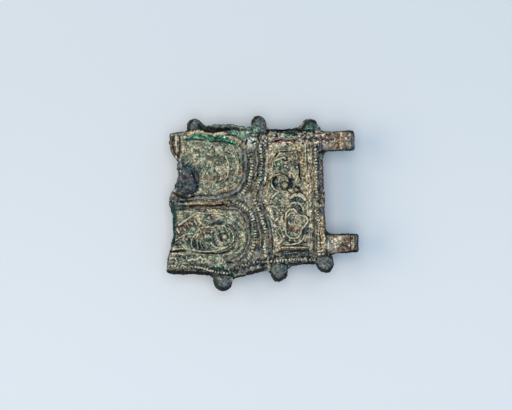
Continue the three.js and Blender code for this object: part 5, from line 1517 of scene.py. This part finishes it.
@dataclass(frozen=True)
class FaceCharts:
    """What the strokes and specks put on the face, drawn once for every piece.

    Attributes:
        relief: How far the face is raised or cut, in millimetres.
        lines: One half where nothing is graved, more on a raised line, less beside it.
        covers: How fully each deposit, painted shade and painted highlight covers the face.
        specks: The same for the loose specks of each deposit.
    """

    relief: np.ndarray
    lines: np.ndarray
    covers: dict[Deposit, np.ndarray]
    specks: dict[Deposit, np.ndarray]

    @classmethod
    def drawn(cls) -> "FaceCharts":
        """Draw all the charts.

        Returns:
            The charts.
        """
        crumbs = [stroke for specks in CRUMBS for stroke in specks.strokes()]
        strokes = [*RELIEF_STROKES, *crumbs]
        cuts = [Stroke(-stroke.force, stroke.width, stroke.places) for stroke in strokes]
        raised = [
            Stroke(min(stroke.force / RUBBED_HEIGHT, 1), max(stroke.width * RUBBED_PART, LEAST_RUBBED),
                   stroke.places)
            for stroke in RELIEF_STROKES if stroke.force > 0]
        sunk = [Stroke(1.0, stroke.width, stroke.places) for stroke in RELIEF_STROKES if stroke.force < 0]
        lines = draw_strokes(raised, fading)
        beside = np.maximum(draw_strokes(raised, flanks), draw_strokes(sunk, fading)) * (1 - lines)
        covers = {deposit: draw_strokes(PATINA_STROKES[deposit], fading) for deposit in Deposit}
        specks = {
            deposit: draw_strokes([stroke for group in groups for stroke in group.strokes()], fading)
            for deposit, groups in PATINA_SPECKS.items()}
        relief = draw_strokes(strokes, ridge) - draw_strokes(cuts, ridge)
        return cls(relief, 0.5 + (lines - beside) / 2, covers, specks)

    def cover(self, deposit: Deposit, points: np.ndarray, speckled: float) -> np.ndarray:
        """Read how fully a deposit covers each point.

        Args:
            deposit: The deposit.
            points: The points, in millimetres.
            speckled: The share of its loose specks that the piece shows.

        Returns:
            A share from 0 to 1 for each point.
        """
        return np.maximum(
            read_chart(self.covers[deposit], points),
            read_chart(self.specks[deposit], points) * speckled)


@dataclass
class ReliefMap:
    """The height of the whole face on an even grid, which tells low from high places.

    Attributes:
        step: The size of a cell in millimetres.
        margin: The space kept round the object in millimetres.
        closing: How many cells wide a gap without points is closed from each side.
        fine_reach: How far the fine relief compares a place with its surroundings.
        broad_reach: The same for the broad relief.
        fine_depth: The depth that counts as fully low in the fine relief.
        broad_depth: The same for the broad relief.
        fill_reach: How far a hollow feels what lies beside it.
        fill_least: How deep a hollow stays in any case.
        fill_depth: How far below the plate's upper face hollows are filled.
        fill_facing: How level the skin is where filling begins.
        fill_gain: How soon it is filled fully from there.
        seen_depth: How far below the highest skin a place still shows its patina.
        seen_facing: How much of it a place shows that stands upright.
        seen_gain: How much more it shows as it turns up.
        height: The highest skin at every cell.
        corner: The place of the first cell on the plan.
    """

    step: float = 0.11
    margin: float = 4.0
    closing: int = 2
    fine_reach: float = 0.3
    broad_reach: float = 0.9
    fine_depth: float = 0.22
    broad_depth: float = 0.7
    fill_reach: float = 0.5
    fill_least: float = 0.02
    fill_depth: float = 0.6
    fill_facing: float = 0.05
    fill_gain: float = 2.0
    seen_depth: float = 0.8
    seen_facing: float = 0.8
    seen_gain: float = 1.5
    height: np.ndarray = field(default_factory=lambda: np.zeros((0, 0)))
    corner: np.ndarray = field(default_factory=lambda: np.zeros(2))

    def cells(self, points: np.ndarray) -> tuple[np.ndarray, np.ndarray]:
        """Find the cells that points lie in.

        Args:
            points: The points, in millimetres.

        Returns:
            The row and the column of each point.
        """
        place = np.round((points[:, :2] - self.corner) / self.step).astype(int)
        return (np.clip(place[:, 1], 0, self.height.shape[0] - 1),
                np.clip(place[:, 0], 0, self.height.shape[1] - 1))

    def survey(self, pieces: list[bpy.types.Object]) -> None:
        """Read the highest skin at every cell.

        Args:
            pieces: The worked pieces, in millimetres.
        """
        everything = np.concatenate([points_of(piece) for piece in pieces])
        self.corner = everything[:, :2].min(0) - self.margin
        reach = everything[:, :2].max(0) + self.margin - self.corner
        columns, rows = np.ceil(reach / self.step).astype(int) + 1
        self.height = np.full((rows, columns), -np.inf)
        np.maximum.at(self.height, self.cells(everything), everything[:, 2])
        for _ in range(self.closing):
            padded = np.pad(self.height, 1, constant_values=-np.inf)
            around = np.max([
                padded[down:down + rows, across:across + columns]
                for down in range(3) for across in range(3)], axis=0)
            self.height = np.where(np.isfinite(self.height), self.height, around)

    def blurred(self, reach: float) -> np.ndarray:
        """Average the height over a reach, leaving out the empty cells.

        Args:
            reach: The reach in millimetres.

        Returns:
            The averaged height on the same grid.
        """
        known = np.isfinite(self.height)
        rows, columns = self.height.shape
        across = np.fft.rfftfreq(columns)
        down = np.fft.fftfreq(rows)
        spread = (reach / self.step * 2 * math.pi) ** 2 / 2
        kernel = np.exp(-spread * (across[None, :] ** 2 + down[:, None] ** 2))

        def soften(grid: np.ndarray) -> np.ndarray:
            """Blur one grid."""
            return np.fft.irfft2(np.fft.rfft2(grid) * kernel, s=grid.shape)

        total = soften(np.where(known, self.height, 0.0))
        weight = soften(known.astype(float))
        return total / np.maximum(weight, 1e-3)

    def fill_hollows(self, pieces: list[bpy.types.Object], forms: list["CastForm"]) -> None:
        """Let the forms run into each other as cast metal and dirt do.

        The bottoms of narrow grooves rise towards the level of what lies beside them.

        Args:
            pieces: The worked pieces, in millimetres.
            forms: What each of them is.
        """
        self.survey(pieces)
        level = self.blurred(self.fill_reach)
        for piece, form in zip(pieces, forms):
            points = points_of(piece)
            upward = np.clip((facing_of(piece) - self.fill_facing) * self.fill_gain, 0, 1)
            reached = upward * (points[:, 2] > PLATE_TOP - self.fill_depth)
            deep = np.clip(level[self.cells(points)] - self.fill_least - points[:, 2], 0, None)
            shift_points(piece, deep * form.filling * reached)

    def paint(
            self, pieces: list[bpy.types.Object], forms: list["CastForm"], charts: FaceCharts) -> None:
        """Write each piece's relief, its steepness for the painted shade, and its deposits with their
        painted shade and highlights into its colour attributes.

        Args:
            pieces: The worked pieces, in millimetres.
            forms: What each of them is.
            charts: The strokes and specks of the face.
        """
        self.survey(pieces)
        fine_level = self.blurred(self.fine_reach)
        broad_level = self.blurred(self.broad_reach)
        for piece, form in zip(pieces, forms):
            points, facing = points_of(piece), facing_of(piece)
            cells = self.cells(points)
            shown = points[:, 2] > self.height[cells] - self.seen_depth
            seen = np.clip(facing * self.seen_gain + self.seen_facing, 0, 1) * shown
            fine = (points[:, 2] - fine_level[cells]) / self.fine_depth
            broad = (points[:, 2] - broad_level[cells]) / self.broad_depth
            write_colours(piece, RELIEF_ATTRIBUTE, [
                np.clip(0.5 + 0.5 * fine * seen, 0, 1), np.clip(0.5 + 0.5 * broad * seen, 0, 1),
                np.clip(1 - facing, 0, 1), 0.5 + (read_chart(charts.lines, points) - 0.5) * seen])
            for attribute, deposits in (*DEPOSIT_AND_HIGHLIGHT_ATTRIBUTES.items(), (TOP_ATTRIBUTE, TOP_DEPOSITS_AND_SHADE)):
                write_colours(piece, attribute, [
                    charts.cover(deposit, points, form.speckled) * seen for deposit in deposits])


def write_colours(piece: bpy.types.Object, name: str, layers: list[np.ndarray]) -> None:
    """Store layers of a piece as the channels of one colour attribute.

    Args:
        piece: The piece.
        name: The attribute's name.
        layers: Up to four layers, each with a value for every point.
    """
    attribute = piece.data.color_attributes.new(name=name, type="FLOAT_COLOR", domain="POINT")
    colours = np.zeros((len(layers[0]), 4), np.float32)
    for channel, layer in enumerate(layers):
        colours[:, channel] = layer
    attribute.data.foreach_set("color", colours.ravel())


# The forms of the casting

@dataclass(frozen=True)
class CastForm:
    """One form of the casting and how it is worked.

    Attributes:
        node: The solid that it is worked from.
        slot: A slot of the record; not used.
        finish: Its patina.
        skin: How its surface is worked.
        engraved: Whether the strokes of the face are cut in it.
        filling: How much of its hollows dirt and cast metal fill.
        speckled: The share of the loose specks that it shows.
        flare: How it widens at the plate, if it is a lug.
    """

    node: str
    slot: str
    finish: PatinaFinish
    skin: Skin
    engraved: bool = True
    filling: float = 0.92
    speckled: float = 1.0
    flare: Flare | None = None

    def cast(self, relief: np.ndarray) -> bpy.types.Object:
        """Make the piece, in millimetres.

        Args:
            relief: The chart of what is cut or raised in the face.

        Returns:
            The worked piece.
        """
        piece = start_from_solid(self.node, f"cast_{self.node}")
        self.skin.work(piece)
        if self.flare:
            self.flare.shape(piece)
        if self.engraved:
            engrave(piece, relief)
        return piece

    def dress(self, piece: bpy.types.Object, materials: dict[str, bpy.types.Material]) -> None:
        """Finish a piece: metres, smooth shading, patina, and its place in the model.

        Args:
            piece: The worked and painted piece, in millimetres.
            materials: The materials that are made already, by their title.
        """
        scale_mesh(piece, 1 / MM_PER_METRE)
        bpy.ops.object.shade_smooth()
        if self.finish.title not in materials:
            materials[self.finish.title] = PatinaPainter(self.finish).paint()
        piece.data.materials.append(materials[self.finish.title])
        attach(piece, BODY)
        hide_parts(self.node)
        log.info("%s: %d faces", piece.name, len(piece.data.polygons))


@dataclass
class BackPlate:
    """The plate that carries everything, with its broken end and its ears."""

    skin: Skin = PLATE_SKIN

    def forms(self) -> list[CastForm]:
        """Return the plate."""
        return [CastForm("base_plate", "dark_patina", PLATE_CAST, self.skin)]


@dataclass
class EdgeLobes:
    """The six knobs that stand out along the two long edges.

    Attributes:
        skin: How their surface is worked.
        speckled: The share of the loose specks that they show.
        nodes: Their solids.
    """

    skin: Skin = LOBE_SKIN
    speckled: float = 0.5
    nodes: tuple[str, ...] = (
        "lobe_upper_end", "lobe_upper_middle", "lobe_upper_hinge",
        "lobe_lower_hinge", "lobe_lower_middle", "lobe_lower_end")

    def forms(self) -> list[CastForm]:
        """Return the knobs."""
        return [
            CastForm(node, "dark_patina", DARK_CAST, self.skin, speckled=self.speckled)
            for node in self.nodes]


@dataclass
class EngravedFields:
    """The sunken fields with their engraved ornament.

    Attributes:
        skin: How the surface of the corroded fields is worked.
        crisp_skin: The same for the fields whose lines are still crisp.
    """

    skin: Skin = FIELD_SKIN
    crisp_skin: Skin = CRISP_SKIN

    def forms(self) -> list[CastForm]:
        """Return the two bezels' fields, the foot's band and the strip."""
        return [
            CastForm("upper_bezel_field", "field_patina", OLIVE_FIELD, self.skin),
            CastForm("lower_bezel_field", "field_patina", OLIVE_FIELD, self.crisp_skin),
            CastForm("foot_scroll_band", "field_patina", OLIVE_FIELD, self.skin),
            CastForm("strip_field", "field_patina", STRIP_FIELD, self.crisp_skin),
        ]


@dataclass
class Mouldings:
    """The plain rolls and rims that frame the fields.

    Attributes:
        skin: How the surface of the rolls is worked.
        rim_skin: The same for the rims.
        speckled: The share of the loose specks that the rolls show.
        rolls: The solids of the rolls.
        dark_rims: The solids of the rims that stayed dark.
        tan_rims: The solids of the rims that turned tan.
    """

    skin: Skin = ROLL_SKIN
    rim_skin: Skin = RIM_SKIN
    speckled: float = 0.4
    rolls: tuple[str, ...] = (
        "divider_roll", "inner_roll_upper", "inner_roll_lower", "upper_bezel_roll", "lower_bezel_roll",
        "hinge_side_roll", "upper_border_roll", "lower_border_roll")
    dark_rims: tuple[str, ...] = ("hinge_side_rim", "end_rim")
    tan_rims: tuple[str, ...] = ("upper_bezel_rim", "middle_rib")

    def forms(self) -> list[CastForm]:
        """Return the rolls and the rims."""
        rolls = [
            CastForm(node, "roll_patina", SLATE_ROLL, self.skin, speckled=self.speckled)
            for node in self.rolls]
        dark = [CastForm(node, "dark_patina", DARK_CAST, self.rim_skin) for node in self.dark_rims]
        tan = [CastForm(node, "tan_patina", TAN_RIDGE, self.rim_skin) for node in self.tan_rims]
        return [*rolls, *dark, *tan]


@dataclass
class BeadRows:
    """The rows of beads beside the rolls and along the borders.

    Attributes:
        skin: How their surface is worked.
        filling: How much of the gaps between the beads is filled.
        nodes: Their solids.
    """

    skin: Skin = BEAD_SKIN
    filling: float = 0.5
    nodes: tuple[str, ...] = (
        "divider_beads", "upper_bezel_beads", "lower_bezel_beads", "hinge_side_beads",
        "upper_border_beads", "lower_border_beads", "foot_beads")

    def forms(self) -> list[CastForm]:
        """Return the rows of beads."""
        return [
            CastForm(node, "bead_patina", TAN_BEAD, self.skin, filling=self.filling)
            for node in self.nodes]


@dataclass
class HingeLugs:
    """The two lugs with the bored barrels that held the hinge's axle.

    Attributes:
        skin: How their surface is worked.
        upper: The shape of the upper lug's root and end.
        lower: The same of the lower one.
    """

    skin: Skin = LUG_SKIN
    upper: Flare = Flare(below=0.9, above=0.2, length=0.9)
    lower: Flare = Flare(below=1.3, above=0.7, length=1.4)

    def forms(self) -> list[CastForm]:
        """Return the lugs."""
        return [
            CastForm(node, "lug_patina", BROWN_LUG, self.skin, flare=flare)
            for node, flare in (("hinge_lug_upper", self.upper), ("hinge_lug_lower", self.lower))]


@dataclass
class StrapLoops:
    """The three pierced loops at the back that held the strap."""

    skin: Skin = LOOP_SKIN
    nodes: tuple[str, ...] = ("strap_loop_end", "strap_loop_upper", "strap_loop_lower")

    def forms(self) -> list[CastForm]:
        """Return the loops."""
        return [
            CastForm(node, "dark_patina", DARK_CAST, self.skin, engraved=False) for node in self.nodes]


@dataclass
class CorrosionLump:
    """The lump of dark corrosion that grew on the broken end."""

    skin: Skin = LUMP_SKIN

    def forms(self) -> list[CastForm]:
        """Return the lump."""
        return [CastForm("corrosion_lump", "corrosion", BLACK_LUMP, self.skin)]


# The studio

@dataclass(frozen=True)
class Lamp:
    """A large soft lamp that shines at the find.

    Attributes:
        title: Its name.
        place: Where it stands, in metres.
        size: Its two sides in metres.
        power: Its power in watts.
        colour: The colour of its light.
    """

    title: str
    place: tuple[float, float, float]
    size: tuple[float, float]
    power: float
    colour: Colour

    def set_up(self) -> None:
        """Stand the lamp in its place and aim it at the find."""
        across, along, up = self.place
        deselect_all()
        bpy.ops.object.light_add(type="AREA", location=self.place)
        lamp = bpy.context.active_object
        lamp.name = self.title
        lamp.data.shape = "RECTANGLE"
        lamp.data.size, lamp.data.size_y = self.size
        lamp.data.energy = self.power
        lamp.data.color = self.colour
        lamp.rotation_euler = (
            0.0, math.atan2(math.hypot(across, along), up), math.atan2(along, across))


@dataclass
class Studio:
    """The pale floor, the soft light and the camera.

    Attributes:
        floor_size: The side of the floor in metres.
        floor_cells: How many cells each side of the floor has.
        floor_far: The floor's colour at the top of the picture, a little darker there as painted light
            falloff.
        floor_near: Its colour at the bottom, a little lighter there as painted light falloff.
        floor_roughness: How matt it is.
        shade_reach: How far from the middle the two colours lie, in metres.
        lamps: The soft lamps.
        sky_level: The level of the light from all sides.
        sky_colour: Its colour.
        camera_height: How high the camera stands over the floor, in metres.
        camera_place: Where it stands on the plan, in metres.
        camera_turn: How far the picture is turned, in degrees.
        lens: The focal length in millimetres.
        nearest: How near to the camera a thing still shows, in metres.
    """

    floor_size: float = 3.0
    floor_cells: int = 8
    floor_far: Colour = tint(219, 228, 237)
    floor_near: Colour = tint(228, 236, 245)
    floor_roughness: float = 0.9
    shade_reach: float = 0.05
    lamps: tuple[Lamp, ...] = (
        Lamp("overhead_lamp", (0.0, 0.0, 1.8), (1.3, 1.7), 18.6, (1.0, 0.907, 0.787)),
        Lamp("left_lamp", (-1.2, 0.1, 0.78), (0.86, 1.2), 9.4, (1.2, 0.9, 0.6)),
    )
    sky_level: float = 0.34
    sky_colour: Colour = (0.58, 0.97, 1.36)
    camera_height: float = 0.3484
    camera_place: Place = (-0.0011, -0.00053)
    camera_turn: float = -2.5
    lens: float = 100.0
    nearest: float = 0.01

    def floor(self) -> None:
        """Lay the floor, painted a little darker towards the top of the picture as light falloff."""
        deselect_all()
        bpy.ops.mesh.primitive_grid_add(
            x_subdivisions=self.floor_cells, y_subdivisions=self.floor_cells, size=self.floor_size)
        floor = bpy.context.active_object
        floor.name = "studio_floor"
        material = bpy.data.materials.new("pale_floor")
        bench = NodeBench(material)
        parts = bench.add("ShaderNodeSeparateXYZ")
        bench.feed(parts.inputs[0], bench.add("ShaderNodeTexCoord").outputs["Object"])
        share = bench.spread(parts.outputs[1], -self.shade_reach, self.shade_reach)
        shader = bench.add("ShaderNodeBsdfPrincipled")
        bench.feed(shader.inputs["Base Color"], bench.blend(share, self.floor_near, self.floor_far))
        shader.inputs["Roughness"].default_value = self.floor_roughness
        shader.inputs["Specular IOR Level"].default_value = 0.0
        output = bench.add("ShaderNodeOutputMaterial")
        bench.feed(output.inputs["Surface"], shader.outputs[0])
        floor.data.materials.append(material)

    def sky(self) -> None:
        """Light the scene evenly from all sides, with a pale backdrop for camera and gloss."""
        world = bpy.data.worlds.new("studio_sky")
        bpy.context.scene.world = world
        bench = NodeBench(world)
        light = bench.add("ShaderNodeBackground")
        bench.feed(light.inputs["Color"], self.sky_colour)
        bench.feed(light.inputs["Strength"], self.sky_level)
        backdrop = bench.add("ShaderNodeBackground")
        bench.feed(backdrop.inputs["Color"], self.floor_far)
        path = bench.add("ShaderNodeLightPath")
        shown = path.outputs["Is Camera Ray"]
        for ray in ("Is Glossy Ray", "Is Transmission Ray"):
            shown = bench.maths("MAXIMUM", shown, path.outputs[ray])
        chosen = bench.add("ShaderNodeMixShader")
        for socket, source in zip(chosen.inputs, (shown, light.outputs[0], backdrop.outputs[0])):
            bench.feed(socket, source)
        output = bench.add("ShaderNodeOutputWorld")
        bench.feed(output.inputs["Surface"], chosen.outputs[0])

    def camera(self) -> None:
        """Set the camera straight over the find, turned as the photograph is."""
        deselect_all()
        bpy.ops.object.camera_add(
            location=(*self.camera_place, self.camera_height),
            rotation=(0.0, 0.0, math.radians(self.camera_turn)))
        camera = bpy.context.active_object
        camera.data.type = "PERSP"
        camera.data.lens = self.lens
        camera.data.clip_start = self.nearest
        bpy.context.scene.camera = camera

    def build(self) -> None:
        """Set up the whole studio."""
        bpy.context.scene.view_settings.view_transform = "Standard"
        self.floor()
        self.sky()
        for lamp in self.lamps:
            lamp.set_up()
        self.camera()
        log.info("studio: floor, sky, %d lamps and camera", len(self.lamps))


def main() -> None:
    """Build the studio and every form, and dress them."""
    logging.basicConfig(level=logging.INFO, format="%(name)s: %(message)s")
    Studio().build()
    assemblies = [
        BackPlate(), EdgeLobes(), EngravedFields(), Mouldings(), BeadRows(), HingeLugs(),
        StrapLoops(), CorrosionLump()]
    forms = [form for assembly in assemblies for form in assembly.forms()]
    charts = FaceCharts.drawn()
    pieces = [form.cast(charts.relief) for form in forms]
    relief = ReliefMap()
    relief.fill_hollows(pieces, forms)
    relief.paint(pieces, forms, charts)
    materials: dict[str, bpy.types.Material] = {}
    for form, piece in zip(forms, pieces):
        form.dress(piece, materials)


if __name__ == "__main__":
    main()
